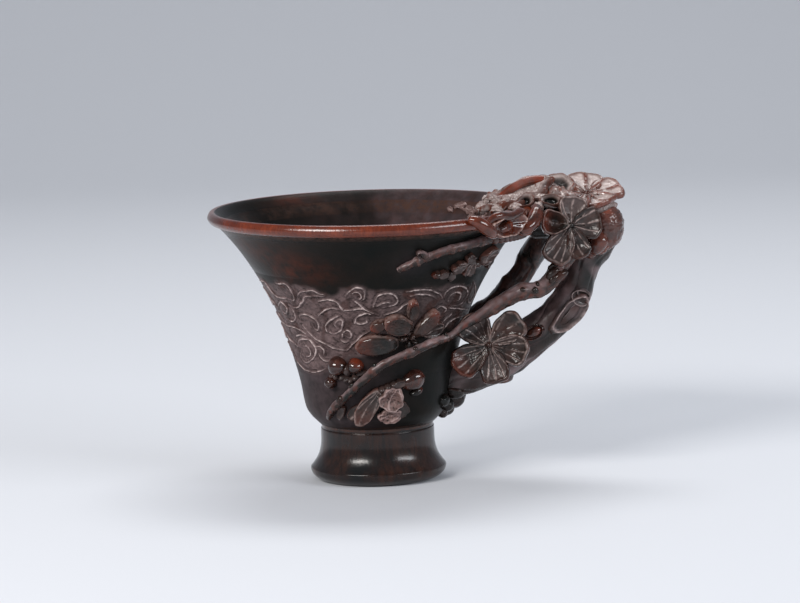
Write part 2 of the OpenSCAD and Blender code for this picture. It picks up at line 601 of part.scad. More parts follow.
// The scroll band: each line is a list of angle and height share
scroll_shares = [
    [[-174, 0.681], [-160, 0.66], [-151, 0.628], [-145, 0.627], [-141, 0.638]],
    [[-145, 0.694], [-139, 0.699], [-135, 0.686], [-135, 0.65]],
    [[-131, 0.652], [-125, 0.674], [-119, 0.672], [-114, 0.658]],
    [[-128, 0.637], [-131, 0.608], [-136, 0.586], [-142, 0.6]],
    [[-154, 0.597], [-149, 0.554], [-141, 0.532], [-150, 0.51], [-158, 0.517]],
    [[-137, 0.556], [-129, 0.558], [-125, 0.522], [-125, 0.494], [-128, 0.487]],
    [[-122, 0.552], [-116, 0.592], [-108, 0.595], [-98, 0.591], [-89, 0.564]],
    [[-118, 0.532], [-110, 0.571], [-108, 0.55]],
    [[-120, 0.495], [-114, 0.536], [-109, 0.499], [-116, 0.458]],
    [[-155, 0.486], [-143, 0.482], [-136, 0.456]],
    [[-134, 0.483], [-123, 0.441], [-115, 0.412], [-109, 0.391]],
    [[-139, 0.423], [-133, 0.378], [-137, 0.332], [-148, 0.32], [-149, 0.372]],
    [[-161, 0.422], [-164, 0.34], [-154, 0.296], [-142, 0.277], [-130, 0.281]],
    [[-131, 0.405], [-124, 0.386]],
    [[-106, 0.651], [-101, 0.674], [-97, 0.696], [-94, 0.674], [-95, 0.63], [-100, 0.629]],
    [[-90, 0.59], [-89, 0.644], [-84, 0.665], [-78, 0.654], [-77, 0.614], [-83, 0.616]],
    [[-72, 0.664], [-60, 0.665], [-53, 0.645]],
    [[-51, 0.632], [-45, 0.661], [-35, 0.644], [-28, 0.599], [-32, 0.574], [-40, 0.597]],
    [[-100, 0.558], [-96, 0.572], [-94, 0.547], [-97, 0.523]],
    [[-111, 0.459], [-107, 0.488], [-103, 0.474], [-103, 0.441]]];
module scroll_band() { color("#7a5f58") for (line = scroll_shares) scroll(line); }
module rear_scroll_band() {
    color("#7a5f58") for (line = scroll_shares) scroll([for (p = line) [-p[0] - 6, p[1]]]);
}

bowl();
lip();
foot();
trunk();
trunk_stump();
trunk_scar();
trunk_eye();
trunk_bark();
front_branch();
branch_buds();
branch_knots();
rear_branch();
root_knobs();
crown_bridge();
crown();
crown_leaves();
crown_bud();
top_blossom();
front_blossom();
low_blossom();
rim_petals();
upper_twig();
upper_blossom();
side_blossom();
bud_group();
relief_blossom();
rear_blossom();
rear_buds();
mouth_sprig();
scroll_band();
rear_scroll_band();
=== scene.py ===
# %% [markdown]
# A drinking cup carved from one horn, with a handle shaped as a plum branch.
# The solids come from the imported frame. Every carved form gets a finer piece
# here, and everything rides on the one rigid body.

# %% Load the frame
import bpy
import math
import numpy as np
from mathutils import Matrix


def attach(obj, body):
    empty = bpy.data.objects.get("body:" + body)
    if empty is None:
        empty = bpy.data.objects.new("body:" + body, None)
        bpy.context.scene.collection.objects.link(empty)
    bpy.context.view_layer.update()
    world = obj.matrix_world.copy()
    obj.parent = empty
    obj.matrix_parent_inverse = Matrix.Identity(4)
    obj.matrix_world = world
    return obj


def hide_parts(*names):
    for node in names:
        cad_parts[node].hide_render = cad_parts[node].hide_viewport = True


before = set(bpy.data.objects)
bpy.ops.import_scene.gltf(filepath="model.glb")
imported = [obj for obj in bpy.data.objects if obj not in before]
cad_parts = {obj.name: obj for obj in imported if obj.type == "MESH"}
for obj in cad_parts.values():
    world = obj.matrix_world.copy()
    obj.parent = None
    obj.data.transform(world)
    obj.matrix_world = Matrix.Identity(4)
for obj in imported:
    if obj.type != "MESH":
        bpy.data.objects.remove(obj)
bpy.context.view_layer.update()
MM = 0.001
BODY = "root"
print("nodes:", len(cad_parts))

# %% [markdown]
# The camera stands where the photographer's did: far away, a little above
# the lip, and rolled by a degree and a half.

# %% Camera
from mathutils import Matrix, Vector

CAMERA_DISTANCE = 1.5
CAMERA_TILT = math.radians(7.73)
CAMERA_ROLL = math.radians(1.6)
AIM = Vector((0.0094, 0.0, 0.0638))
PICTURE_WIDTH_AT_AIM = 0.2885
SENSOR = 36.0

ahead = Vector((0, math.cos(CAMERA_TILT), -math.sin(CAMERA_TILT)))
bpy.ops.object.camera_add(location=AIM - ahead * CAMERA_DISTANCE)
camera = bpy.context.object
right = Vector((1, 0, 0))
above = right.cross(ahead)
turn = Matrix((right, above, -ahead)).transposed()
roll = Matrix.Rotation(-CAMERA_ROLL, 3, "Z")
camera.rotation_euler = (turn @ roll).to_euler()
camera.data.sensor_width = SENSOR
camera.data.lens = SENSOR * CAMERA_DISTANCE / PICTURE_WIDTH_AT_AIM
bpy.context.scene.camera = camera
print("lens:", round(camera.data.lens, 1), "mm")

# %% [markdown]
# The studio: a pale sweep behind the cup, one large soft lamp from the left
# front, a weaker one from the right and one from behind and above.

# %% Floor and sweep
FLOOR_SIZE = (9, 5)
FLOOR_SHIFT = -0.6
FLOOR_BACK = 1.5
SWEEP_HEIGHT = 3.4
SWEEP_BEND = 0.9
FLOOR_COLOUR = (0.72, 0.74, 0.78, 1)


def select_back_edge(piece):
    """Selects the edge that lies on the ground at the back of the floor."""
    bpy.ops.object.mode_set(mode="EDIT")
    bpy.ops.mesh.select_mode(type="EDGE")
    bpy.ops.mesh.select_all(action="DESELECT")
    bpy.ops.object.mode_set(mode="OBJECT")
    for edge in piece.data.edges:
        ends = [piece.data.vertices[i].co for i in edge.vertices]
        edge.select = all(p.y > FLOOR_BACK and p.z < SWEEP_HEIGHT / 2 for p in ends)
    bpy.ops.object.mode_set(mode="EDIT")


bpy.ops.object.select_all(action="DESELECT")
bpy.ops.mesh.primitive_plane_add(size=1, location=(0, 0, 0))
floor = bpy.context.object
floor.name = "floor"
bpy.ops.transform.resize(value=(*FLOOR_SIZE, 1))
bpy.ops.transform.translate(value=(0, FLOOR_SHIFT, 0))
bpy.ops.object.transform_apply(location=True, rotation=True, scale=True)
select_back_edge(floor)
bpy.ops.mesh.extrude_region_move(TRANSFORM_OT_translate={"value": (0, 0, SWEEP_HEIGHT)})
select_back_edge(floor)
bpy.ops.mesh.bevel(offset=SWEEP_BEND, segments=24)
bpy.ops.object.mode_set(mode="OBJECT")
bpy.ops.object.shade_smooth()

floor_paint = bpy.data.materials.new("floor_paint")
floor_paint.use_nodes = True
floor_shader = floor_paint.node_tree.nodes["Principled BSDF"]
floor_shader.inputs["Base Color"].default_value = FLOOR_COLOUR
floor_shader.inputs["Roughness"].default_value = 0.9
floor.data.materials.append(floor_paint)

# %% Lamps
AIR_COLOUR = (0.80, 0.84, 0.92, 1)
AIR_STRENGTH = 0.32


def soft_lamp(name, place, size, watts, tint):
    """An area lamp at a place in metres, aimed at the cup."""
    bpy.ops.object.light_add(type="AREA", location=place)
    lamp = bpy.context.object
    lamp.name = name
    lamp.data.shape = "RECTANGLE"
    lamp.data.size, lamp.data.size_y = size
    lamp.data.energy = watts
    lamp.data.color = tint
    aim = AIM - Vector(place)
    lamp.rotation_euler = aim.to_track_quat("-Z", "Y").to_euler()


soft_lamp("key", place=(-0.75, -0.95, 0.75), size=(0.66, 0.26), watts=13.5, tint=(1.0, 0.97, 0.94))
soft_lamp("fill", place=(1.15, -0.72, 0.62), size=(0.8, 0.26), watts=8.5, tint=(0.94, 0.96, 1.0))
soft_lamp("top", place=(0.1, 0.45, 1.15), size=(0.8, 0.4), watts=6.5, tint=(1.0, 1.0, 1.0))
world = bpy.data.worlds.new("studio_air")
bpy.context.scene.world = world
world.use_nodes = True
air = world.node_tree.nodes["Background"]
air.inputs["Color"].default_value = AIR_COLOUR
air.inputs["Strength"].default_value = AIR_STRENGTH
bpy.context.scene.view_settings.view_transform = "Standard"
print("lamps set")

# %% [markdown]
# The wall of the cup as numbers. Every carved form lies on it, so one smooth
# outline gives the radius and the slope at any height, in millimetres. The
# outline is kept as shares of the height and of the flare, so that it follows
# when the cup's sizes change.

# %% Outline of the cup
FOOT_HEIGHT = 20.5
BODY_TOP = 94.0
LIP_TOP = 98.5
MOUTH_RADIUS = 59.0
WAIST_RADIUS = 20.6
BOWL_TOP_RADIUS = 56.0
WALL = 3.0
SLOPE_STEP = 0.4
OUTLINE_SHARES = [(0, 0), (0.019, 0.04), (0.046, 0.093), (0.08, 0.136), (0.13, 0.161),
                  (0.21, 0.189), (0.32, 0.246), (0.43, 0.311), (0.54, 0.39), (0.65, 0.492),
                  (0.755, 0.616), (0.865, 0.763), (0.945, 0.893), (1, 1)]


def smooth(points, steps):
    """A smooth curve through points, with some steps between neighbours."""
    p = np.array(points, float)
    out = []
    for i in range(len(p) - 1):
        a, b, c, d = p[max(i - 1, 0)], p[i], p[i + 1], p[min(i + 2, len(p) - 1)]
        for k in range(steps):
            t = k / steps
            bend = (2 * a - 5 * b + 4 * c - d) + t * (3 * (b - c) + d - a)
            out.append(b + t / 2 * ((c - a) + t * bend))
    return np.array(out + [p[-1]])


outline = smooth(OUTLINE_SHARES, 8)
outline_z = FOOT_HEIGHT + (BODY_TOP - FOOT_HEIGHT) * outline[:, 0]
outline_r = WAIST_RADIUS + (BOWL_TOP_RADIUS - WAIST_RADIUS) * outline[:, 1]


def wall_radius(z):
    """The outer radius of the wall at a height."""
    return np.interp(z, outline_z, outline_r)


def wall_slope(z):
    """How fast the wall flares at a height."""
    return (wall_radius(z + SLOPE_STEP) - wall_radius(z - SLOPE_STEP)) / (2 * SLOPE_STEP)


def on_wall(angle, z, off=0.0):
    """The point at an angle in degrees, a height and a distance off the wall."""
    a, r = np.radians(angle), wall_radius(z) + off
    return np.stack([r * np.cos(a), r * np.sin(a), z + 0 * r], -1)


print("wall radius at the middle:", round(float(wall_radius(60)), 2), "mm")

# %% [markdown]
# A skin turns three lengths into a point: u to the right and v up along a
# surface, and h straight out of it. Petals are shaped on a skin, so the same
# petal can lie on the round wall or face any way on the handle.

# %% Skins


def wall_skin(angle, z0):
    """A skin on the bowl's wall, round a point at an angle and a height."""
    lean0 = math.atan(wall_slope(z0))

    def skin(u, v, h):
        z = z0 + v * math.cos(lean0)
        r = wall_radius(z)
        lean = np.arctan(wall_slope(z))
        a = math.radians(angle) + u / r
        out = r + h * np.cos(lean)
        return np.stack([out * np.cos(a), out * np.sin(a), z - h * np.sin(lean)], -1)
    return skin


def rim_skin(angle, z0, radius=MOUTH_RADIUS):
    """An upright skin at the rim."""
    def skin(u, v, h):
        a = math.radians(angle) + u / radius
        out = radius + h
        return np.stack([out * np.cos(a), out * np.sin(a), z0 + v], -1)
    return skin


def flat_skin(place, out, up=(0, 0, 1)):
    """A flat skin at a place, facing the way out, with its v towards up."""
    place, n = np.array(place, float), np.array(out, float)
    n = n / np.linalg.norm(n)
    across = np.cross(up, n)
    across = across / np.linalg.norm(across)
    top = np.cross(n, across)

    def skin(u, v, h):
        return place + np.multiply.outer(u, across) + np.multiply.outer(v, top) \
            + np.multiply.outer(h, n)
    return skin


# %% [markdown]
# Each closed form starts as a ball: its top pole becomes the middle of the
# carved face, its bottom pole the middle of the hidden back. A ball is closed
# and faces outwards, and it stays so while its points move.

# %% From a ball to a carved form
WAVES = 14
WAVE_SPREAD = (0.6, 1.7)


def stored_points(piece):
    """A mesh's points as rows, in Blender's metres."""
    co = np.empty(len(piece.data.vertices) * 3)
    piece.data.vertices.foreach_get("co", co)
    return co.reshape(-1, 3)


def ball(name, around, along):
    """A ball, with each point's angle round it and its share from top to bottom."""
    bpy.ops.object.select_all(action="DESELECT")
    bpy.ops.mesh.primitive_uv_sphere_add(segments=around, ring_count=along, radius=1)
    piece = bpy.context.object
    piece.name = name
    co = stored_points(piece)
    theta = np.arctan2(co[:, 1], co[:, 0])
    share = np.arccos(np.clip(co[:, 2], -1, 1)) / math.pi
    return piece, theta, share


def place_points(piece, points):
    """Writes points in millimetres into a piece's mesh."""
    piece.data.vertices.foreach_set("co", (np.asarray(points) * MM).ravel())
    piece.data.update()
    return piece


def read_points(piece):
    """A mesh's points as rows, in millimetres."""
    return stored_points(piece) / MM


def point_normals(piece):
    """The way each point of a mesh faces."""
    normals = np.empty(len(piece.data.vertices) * 3)
    piece.data.vertices.foreach_get("normal", normals)
    return normals.reshape(-1, 3)


def ripple(points, size, seed):
    """A soft random field from -1 to 1, with waves about size millimetres long."""
    chance = np.random.default_rng(seed)
    total = np.zeros(len(points))
    for _ in range(WAVES):
        way = chance.normal(size=3)
        way = way / np.linalg.norm(way) * 2 * math.pi / (size * chance.uniform(*WAVE_SPREAD))
        total += np.sin(points @ way + chance.uniform(0, 2 * math.pi))
    return np.clip(total / math.sqrt(WAVES), -2, 2) / 2


# %% Marks on the points


def smoothstep(x, low, high):
    """Goes softly from 0 at low to 1 at high."""
    t = np.clip((x - low) / (high - low), 0, 1)
    return t * t * (3 - 2 * t)


def paint(piece, name, values):
    """Stores a number per point, which the finishes read."""
    layer = piece.data.attributes.get(name) or piece.data.attributes.new(name, "FLOAT", "POINT")
    layer.data.foreach_set("value", np.clip(np.asarray(values, float), 0, 1))


def painted(piece, name):
    """Reads the numbers that paint stored, or zeros."""
    values = np.zeros(len(piece.data.vertices))
    if name in piece.data.attributes:
        piece.data.attributes[name].data.foreach_get("value", values)
    return values


# %% [markdown]
# A petal or bud of a carved plum blossom is a shallow dish with a raised rim,
# or a dome. A flat disc could be bent into one, but a disc has no thickness
# at its rim. The ball's upper half is flattened into the face instead, and its
# lower half into the back that sinks into the horn. The rim, the veins and the
# worn pits are heights on the face, and the marks for the finish come from the
# same numbers, so that colour and carving agree.

# %% Petals
BIG_SCALLOP, SMALL_SCALLOP = 0.05, 0.03
NOTCH_WIDTH = 0.35
BASE_DROP = 0.45
RIM_WIDTH = 0.07
VEINS_FROM = 1.12
WAVE_SHARE = 0.18
PIT_SIZE = 1.1
LINE_SPREAD = 0.06
BROAD_RIB = 10


def petal_outline(theta, reach, wave, notch, blunt, egg, seed):
    """Where each point lies in the petal's plan, x from -1 at its base to 1 at its tip."""
    edge = 1 + BIG_SCALLOP * wave * np.sin(theta * 5 + seed) \
        + SMALL_SCALLOP * wave * np.sin(theta * 9 + 2 * seed)
    edge = edge - notch * np.exp(-(theta / NOTCH_WIDTH) ** 2)
    cosine, sine = np.cos(theta), np.sin(theta)
    cosine = np.sign(cosine) * np.abs(cosine) ** np.where(cosine > 0, blunt, 1.0)
    x = reach * cosine * edge
    return x, reach * sine * edge * (1 + egg * np.cos(theta)) / (1 + 0.3 * egg)


def dish_height(x, reach, rise, hollow, rim, roll):
    """The height of a dished face: low in the middle, highest at the rim, round outside it."""
    rising = smoothstep(reach, 0.2, rim)
    round_off = np.sqrt(np.clip(1 - ((reach - rim) / (1 - rim)) ** 2, 0, 1))
    falling = np.where(reach > rim, round_off, 1)
    base = 1 - BASE_DROP * smoothstep(-x, 0.5, 1.0)
    height = rise * ((1 - hollow) + hollow * rising) * falling * base
    return height + roll * np.exp(-((reach - rim) / RIM_WIDTH) ** 2) * base


def vein_marks(x, y, reach, rim, veins, sharp, seed):
    """Veins that fan out from the base, 1 on a vein and 0 beside it."""
    spread = np.arctan2(y, x + VEINS_FROM)
    inside = smoothstep(reach, 0.02, 0.2) * (1 - smoothstep(reach, rim - 0.12, rim))
    return inside * np.abs(np.cos(spread * veins + 0.3 * np.sin(seed + 3 * reach))) ** sharp


def petal(name, skin, length, width, turn, at=(0, 0), rise=2.0, hollow=0.3, rim=0.86, roll=0.0,
          egg=0.15, blunt=1.0, veins=0, vein_h=0.14, sharp=24, curl=0.0, tilt=0.0, wave=0.0,
          floor_h=-0.6, around=64, along=40, seed=1, dome=False, notch=0.0, base_lift=0.0,
          warm=0.0, pale=0.0, pit=0.0, shade=0.0, edge_line=0.0):
    """A cupped petal: its base is at the left before turn swings it.
    hollow is how deep the middle lies below the rim, as a share of rise, and
    roll is how far the rim stands up as a narrow edge, in millimetres."""
    piece, theta, share = ball(name, around, along)
    top = share <= 0.5
    reach = np.clip(np.where(top, share * 2, (1 - share) * 2), 0, 1)
    reach_flat = np.sin(reach * math.pi / 2) if dome else reach
    x, y = petal_outline(theta, reach_flat, wave, notch, blunt, egg, seed)
    if dome:
        h = rise * np.sqrt(np.clip(1 - reach_flat ** 2, 0, 1)) ** 0.9
    else:
        h = dish_height(x, reach, rise, hollow, rim, roll)
    vein = np.zeros(len(x))
    if veins:
        vein = np.where(top, vein_marks(x, y, reach, rim, veins, sharp, seed), 0)
        h = h + vein_h * vein
    h = h + wave * WAVE_SHARE * rise * np.sin(theta * 3 + seed) * reach ** 3
    u0, v0 = x * length / 2, y * width / 2
    if pit:
        flat = np.stack([u0, v0, 0 * u0], -1)
        h = h + np.where(top, pit * ripple(flat, PIT_SIZE, seed) * (1 - reach ** 4), 0)
    under = floor_h * (1 - reach ** 6) + reach ** 6 * (0.1 * rise + floor_h * 0.5)
    h = np.where(top, h, under)
    h = h + curl * np.clip(x, 0, 1) ** 2 + tilt * y + base_lift * np.clip(-x, 0, 1)
    c, s = math.cos(math.radians(turn)), math.sin(math.radians(turn))
    place_points(piece, skin(at[0] + u0 * c - v0 * s, at[1] + u0 * s + v0 * c, h))
    broad = sharp < BROAD_RIB
    rib = vein if broad else 0 * vein
    line_at = rim if rim > 0.8 else 0.95
    # A pale line along the rim, painted as a highlight, is stored in the vein mark.
    line = edge_line * np.exp(-((reach - line_at) / LINE_SPREAD) ** 2) * top
    paint(piece, "warm", np.maximum(warm * smoothstep(x, 0.0, 0.95), 0.7 * rib))
    paint(piece, "pale", pale * (1 - 0.8 * smoothstep(reach, 0.66, 0.9)) * (1 - rib))
    paint(piece, "vein", np.maximum(vein * min(1, pale + 0.5) * (not broad), line))
    # Painted shade in the middle of a dished face.
    paint(piece, "shade", np.where(top, shade * (1 - smoothstep(reach, 0.42, 0.68)), 0))
    return piece


# %% [markdown]
# A limb, such as the trunk, a twig or a stamen, is round and tapers as it
# grows. A curve with a bevel could draw it, but its ends are flat and its
# knots have to be added. A ball drawn out along a line has rounded ends from
# its poles. Its frame is carried along the line without twisting, so that the
# bark's grooves run straight, and knots swell its radius.

# %% Limbs
SHORT_WAY = 60
CAP_SHARE = 0.9
GROOVE_SWAY, GROOVE_SHARE = 22, 0.06


def carried_sides(ahead):
    """One sideways direction for each point of a line, carried on without a twist."""
    side = np.cross(ahead[0], (0, 0, 1))
    if np.linalg.norm(side) < 0.2:
        side = np.cross(ahead[0], (0, 1, 0))
    sides = []
    for way in ahead:
        side = side - way * (side @ way)
        side = side / np.linalg.norm(side)
        sides.append(side)
    return np.array(sides)


def limb(name, line, radii, around=28, steps=6, knots=(), bark=0.0, bark_size=3.0,
         grooves=0, seed=3, hug=None):
    """A round limb through points in millimetres, with a radius at each.
    knots are rows of place along the limb, width and swelling, as shares."""
    way = smooth(line, steps)
    radius = smooth(np.array(radii, float)[:, None], steps)[:, 0]
    ahead = np.gradient(way, axis=0)
    ahead = ahead / np.linalg.norm(ahead, axis=1)[:, None]
    sides = carried_sides(ahead)
    tops = np.cross(ahead, sides)
    rows = len(way) * 2 if len(way) < SHORT_WAY else len(way)
    piece, theta, share = ball(name, around, rows)
    s = 1 - share
    cap = CAP_SHARE * radius.mean() / (np.linalg.norm(np.diff(way, axis=0), axis=1).sum())
    at = np.clip((s - cap * 0.4) / (1 - 0.8 * cap), 0, 1) * (len(way) - 1)
    low = np.minimum(at.astype(int), len(way) - 2)
    part = (at - low)[:, None]

    def between_rows(rows_of):
        return rows_of[low] * (1 - part) + rows_of[low + 1] * part
    centre = between_rows(way)
    u, v = between_rows(sides), between_rows(tops)
    r = between_rows(radius[:, None])[:, 0]
    from_end = np.clip(np.minimum(s, 1 - s) / cap, 0, 1)
    r = r * np.sqrt(np.clip(1 - (1 - from_end) ** 2, 0, 1))
    for place, width, swell in knots:
        r = r * (1 + swell * np.exp(-((s - place) / width) ** 2))
    spoke = np.cos(theta)[:, None] * u + np.sin(theta)[:, None] * v
    if grooves:
        depth = np.abs(np.sin(theta * grooves / 2 + 3 * ripple(centre, GROOVE_SWAY, seed)))
        r = r * (1 - GROOVE_SHARE * (1 - depth) ** 3)
    points = centre + r[:, None] * spoke
    if bark:
        rough = bark * ripple(points, bark_size, seed) * from_end
        points = points + spoke * rough[:, None]
    if hug is not None:
        points = hug(points)
    return place_points(piece, points)


def pressed(points, gap=-0.4):
    """Points that would lie inside the wall come out to it."""
    r = np.hypot(points[:, 0], points[:, 1])
    need = wall_radius(points[:, 2]) + gap
    inside = (r < need) & (points[:, 2] < LIP_TOP)
    scale = np.where(inside, need / np.maximum(r, 1e-6), 1)
    return np.stack([points[:, 0] * scale, points[:, 1] * scale, points[:, 2]], -1)


# %% [markdown]
# Horn shows where a hand has rubbed it: edges are bright red-brown, and that colour also stands in for
# highlights. Hollows hold pale dust on the crown. On the other finishes the hollows take a darker
# colour, which is painted shade. Each piece stores how far each point stands out of its surroundings,
# and the finishes read that as an attribute.

# %% How far a point stands out
SOFTEN = 0.6


def relief_of(piece, rounds, scale):
    """How far each point stands above its neighbourhood, in millimetres."""
    mesh = piece.data
    points = read_points(piece)
    edges = np.empty(len(mesh.edges) * 2, int)
    mesh.edges.foreach_get("vertices", edges)
    a, b = edges.reshape(-1, 2).T
    count = np.bincount(np.concatenate([a, b]), minlength=len(points)).astype(float)
    soft = points.copy()
    for _ in range(rounds):
        total = np.zeros_like(soft)
        for axis in range(3):
            total[:, axis] = np.bincount(a, soft[b, axis], len(points)) \
                + np.bincount(b, soft[a, axis], len(points))
        mean = total / np.maximum(count, 1)[:, None]
        soft = (1 - SOFTEN) * soft + SOFTEN * mean
    height = np.einsum("ij,ij->i", points - soft, point_normals(piece))
    return np.clip(height / scale, -1, 1)


# %% Finishing a piece
TOP_PALE_SIZE, PATCH_SIZE = 3, 9
TOP_PALE_SEED, PATCH_SEED = 7, 17


def finish_piece(parts, name, nodes, material, rounds=8, scale=0.25, lit_top_and_dust=0.0,
                 mottled=0.0, crease=None):
    """Joins the parts, stores their relief, and hands the piece to the frame.
    The argument after scale sets how pale the sides that face up are, which is painted light on the top
    along with dust; mottled is how pale patches are.
    crease is the angle in degrees above which an edge stays sharp."""
    bpy.ops.object.select_all(action="DESELECT")
    for part in parts:
        part.select_set(True)
    bpy.context.view_layer.objects.active = parts[0]
    if len(parts) > 1:
        bpy.ops.object.join()
    piece = bpy.context.view_layer.objects.active
    piece.name = name
    piece.data.name = name
    if crease:
        bpy.ops.object.shade_smooth_by_angle(angle=math.radians(crease))
    else:
        bpy.ops.object.shade_smooth()
    paint(piece, "relief", 0.5 + 0.5 * relief_of(piece, rounds, scale))
    if lit_top_and_dust or mottled:
        # Faces that look up turn pale: painted light on the top, with dust.
        faces_up = smoothstep(point_normals(piece)[:, 2], -0.25, 0.65)
        points = read_points(piece)
        before, red = painted(piece, "pale"), painted(piece, "warm")
        light_and_dust = lit_top_and_dust * faces_up * (0.72 + 0.28 * ripple(points, TOP_PALE_SIZE, TOP_PALE_SEED)) \
            * (1 - 0.7 * red)
        patches = mottled * smoothstep(ripple(points, PATCH_SIZE, PATCH_SEED), -0.05, 0.6) * (1 - red)
        paint(piece, "pale", np.maximum(before, np.maximum(light_and_dust, patches)))
    piece.data.materials.clear()
    piece.data.materials.append(material)
    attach(piece, BODY)
    if nodes:
        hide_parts(*nodes)
    print(name, len(piece.data.polygons), "faces")
    return piece


# %% [markdown]
# The finishes. All are horn, so they share one recipe: two browns mixed by a slow cloud; a bright
# rubbed colour on what stands out, which is wear and a painted highlight; in the hollows, pale dust on
# the crown and painted shade on the others; a near-black painted shade where a piece asks for it; fine
# grain as bump; and a satin or polished shine. Each finish could have nodes of its own, but one recipe
# keeps them alike, and a change to the grain then reaches them all.

# %% Horn
SPECK = (0.30, 0.60)
SHADOW = (0.004, 0.0035, 0.003)
DUST_ROUGHNESS = 0.14
COAT_ROUGHNESS = 0.12
GRAIN_SIZE = 1.4
GRAIN_DEPTH = 0.4 * MM


def horn(name, deep, brown, rubbed_and_highlight, hollow, rough, patch=9.0, streak=9.0, streak_mix=0.35,
         streak_axis=(1, 1, 0.12), bump=0.15, rub=(0.60, 0.90), hollow_fill=(0.30, 0.47), coat=0.0,
         shine=0.35, rub_rough=-0.12, pale=(0.11, 0.076, 0.072), warm=(0.16, 0.026, 0.010),
         ground=None, lined=None):
    """One recipe for every finish. The attributes warm, pale, ground and relief say where a piece is
    reddish, pale with dust and with painted light on its tops, carved as ground, and raised. The
    attribute shade marks painted shade, and vein marks veins and painted highlights along rims."""
    material = bpy.data.materials.new(name)
    material.use_nodes = True
    tree = material.node_tree
    new = tree.nodes.new
    link = tree.links.new
    shader = tree.nodes["Principled BSDF"]
    place = new("ShaderNodeTexCoord")

    def noise(size, detail, stretch=(1, 1, 1)):
        mapping = new("ShaderNodeMapping")
        mapping.inputs["Scale"].default_value = stretch
        link(place.outputs["Object"], mapping.inputs["Vector"])
        node = new("ShaderNodeTexNoise")
        node.inputs["Scale"].default_value = 1 / (size * MM)
        node.inputs["Detail"].default_value = detail
        node.inputs["Roughness"].default_value = 0.6
        link(mapping.outputs["Vector"], node.inputs["Vector"])
        return node.outputs["Fac"]

    def ramp(value, low, high, start=0.0, end=1.0):
        node = new("ShaderNodeMapRange")
        for socket, number in (("From Min", low), ("From Max", high), ("To Min", start),
                               ("To Max", end)):
            node.inputs[socket].default_value = number
        link(value, node.inputs["Value"])
        return node.outputs["Result"]

    def mix(factor, a, b):
        node = new("ShaderNodeMix")
        node.data_type = "RGBA"
        link(factor, node.inputs["Factor"])
        for value, socket in ((a, node.inputs["A"]), (b, node.inputs["B"])):
            if isinstance(value, tuple):
                socket.default_value = (*value, 1)
            else:
                link(value, socket)
        return node.outputs["Result"]

    def times(a, b):
        node = new("ShaderNodeMath")
        node.operation = "MULTIPLY"
        for value, socket in ((a, node.inputs[0]), (b, node.inputs[1])):
            if isinstance(value, float):
                socket.default_value = value
            else:
                link(value, socket)
        return node.outputs[0]

    def stored(attribute):
        node = new("ShaderNodeAttribute")
        node.attribute_name = attribute
        return node.outputs["Fac"]

    cloud = ramp(noise(patch * 6, 4.0), 0.36, 0.66)
    mottle = ramp(noise(2.6, 4.0), 0.35, 0.62)
    streaks = ramp(noise(streak, 5.0, streak_axis), 0.35, 0.7)
    speck = ramp(noise(0.9, 3.0), 0.30, 0.65)
    relief = stored("relief")
    colour = mix(cloud, deep, brown)
    colour = mix(times(streaks, streak_mix), colour, deep)
    colour = mix(times(stored("warm"), ramp(noise(5, 4.0), *SPECK)), colour, warm)
    # The pale mark is laid on in patches. It carries dust, and painted light on lit tops.
    light_and_dust = ramp(noise(3.5, 5.0), 0.28, 0.68, start=0.35)
    colour = mix(times(stored("pale"), light_and_dust), colour, pale)
    if ground:
        dusted = mix(mottle, tuple(0.55 * c for c in ground), ground)
        dusted = mix(times(speck, 0.45), dusted, tuple(1.5 * c for c in ground))
        colour = mix(stored("ground"), colour, dusted)
    # The hollow colour goes where relief is low: pale dust on the crown, and painted shade in the
    # recesses of every other finish.
    colour = mix(times(ramp(relief, hollow_fill[1], hollow_fill[0]), speck), colour, hollow)
    # The rubbed colour on raised places is wear and a painted highlight.
    colour = mix(times(ramp(relief, *rub), ramp(noise(2.0, 3.0), *SPECK)), colour, rubbed_and_highlight)
    # vein marks the veins' colour and the painted highlight along rims.
    if lined:
        colour = mix(times(stored("vein"), ramp(noise(1.5, 2.0), *SPECK)), colour, lined)
    # shade mixes the colour towards near black: painted shade.
    colour = mix(stored("shade"), colour, SHADOW)
    link(colour, shader.inputs["Base Color"])
    dusty = new("ShaderNodeMath")
    dusty.operation = "MULTIPLY_ADD"
    dusty.inputs[1].default_value = DUST_ROUGHNESS
    link(stored("pale"), dusty.inputs[0])
    link(ramp(relief, 0.3, 0.8, rough, rough + rub_rough), dusty.inputs[2])
    link(dusty.outputs[0], shader.inputs["Roughness"])
    shader.inputs["Specular IOR Level"].default_value = shine
    if coat:
        link(ramp(stored("pale"), 0.0, 1.0, coat, 0.3 * coat), shader.inputs["Coat Weight"])
    shader.inputs["Coat Roughness"].default_value = COAT_ROUGHNESS
    bumps = new("ShaderNodeBump")
    bumps.inputs["Strength"].default_value = bump
    bumps.inputs["Distance"].default_value = GRAIN_DEPTH
    link(noise(GRAIN_SIZE, 5.0, streak_axis), bumps.inputs["Height"])
    link(bumps.outputs["Normal"], shader.inputs["Normal"])
    return material


# %% [markdown]
# The wall is nearly black with a low wax shine, and the lip is the thin red
# part of the horn. The scrolled ground and the crown hold pale dust.

# %% Finishes of the cup
# On every finish but the crown's, the dark hollow colour is painted shade in recesses.
WALL_DEEP, WALL_BROWN = (0.0045, 0.006, 0.0055), (0.014, 0.0095, 0.0075)
wall_look = dict(deep=WALL_DEEP, brown=WALL_BROWN, patch=4, shine=0.09, streak_mix=0.3,
                 pale=(0.066, 0.047, 0.050), warm=(0.070, 0.016, 0.007))
wall_horn = horn("wall_horn", rubbed_and_highlight=(0.060, 0.030, 0.022), hollow=(0.012, 0.010, 0.009),
                 rough=0.38, rub=(0.8, 1.0), **wall_look)
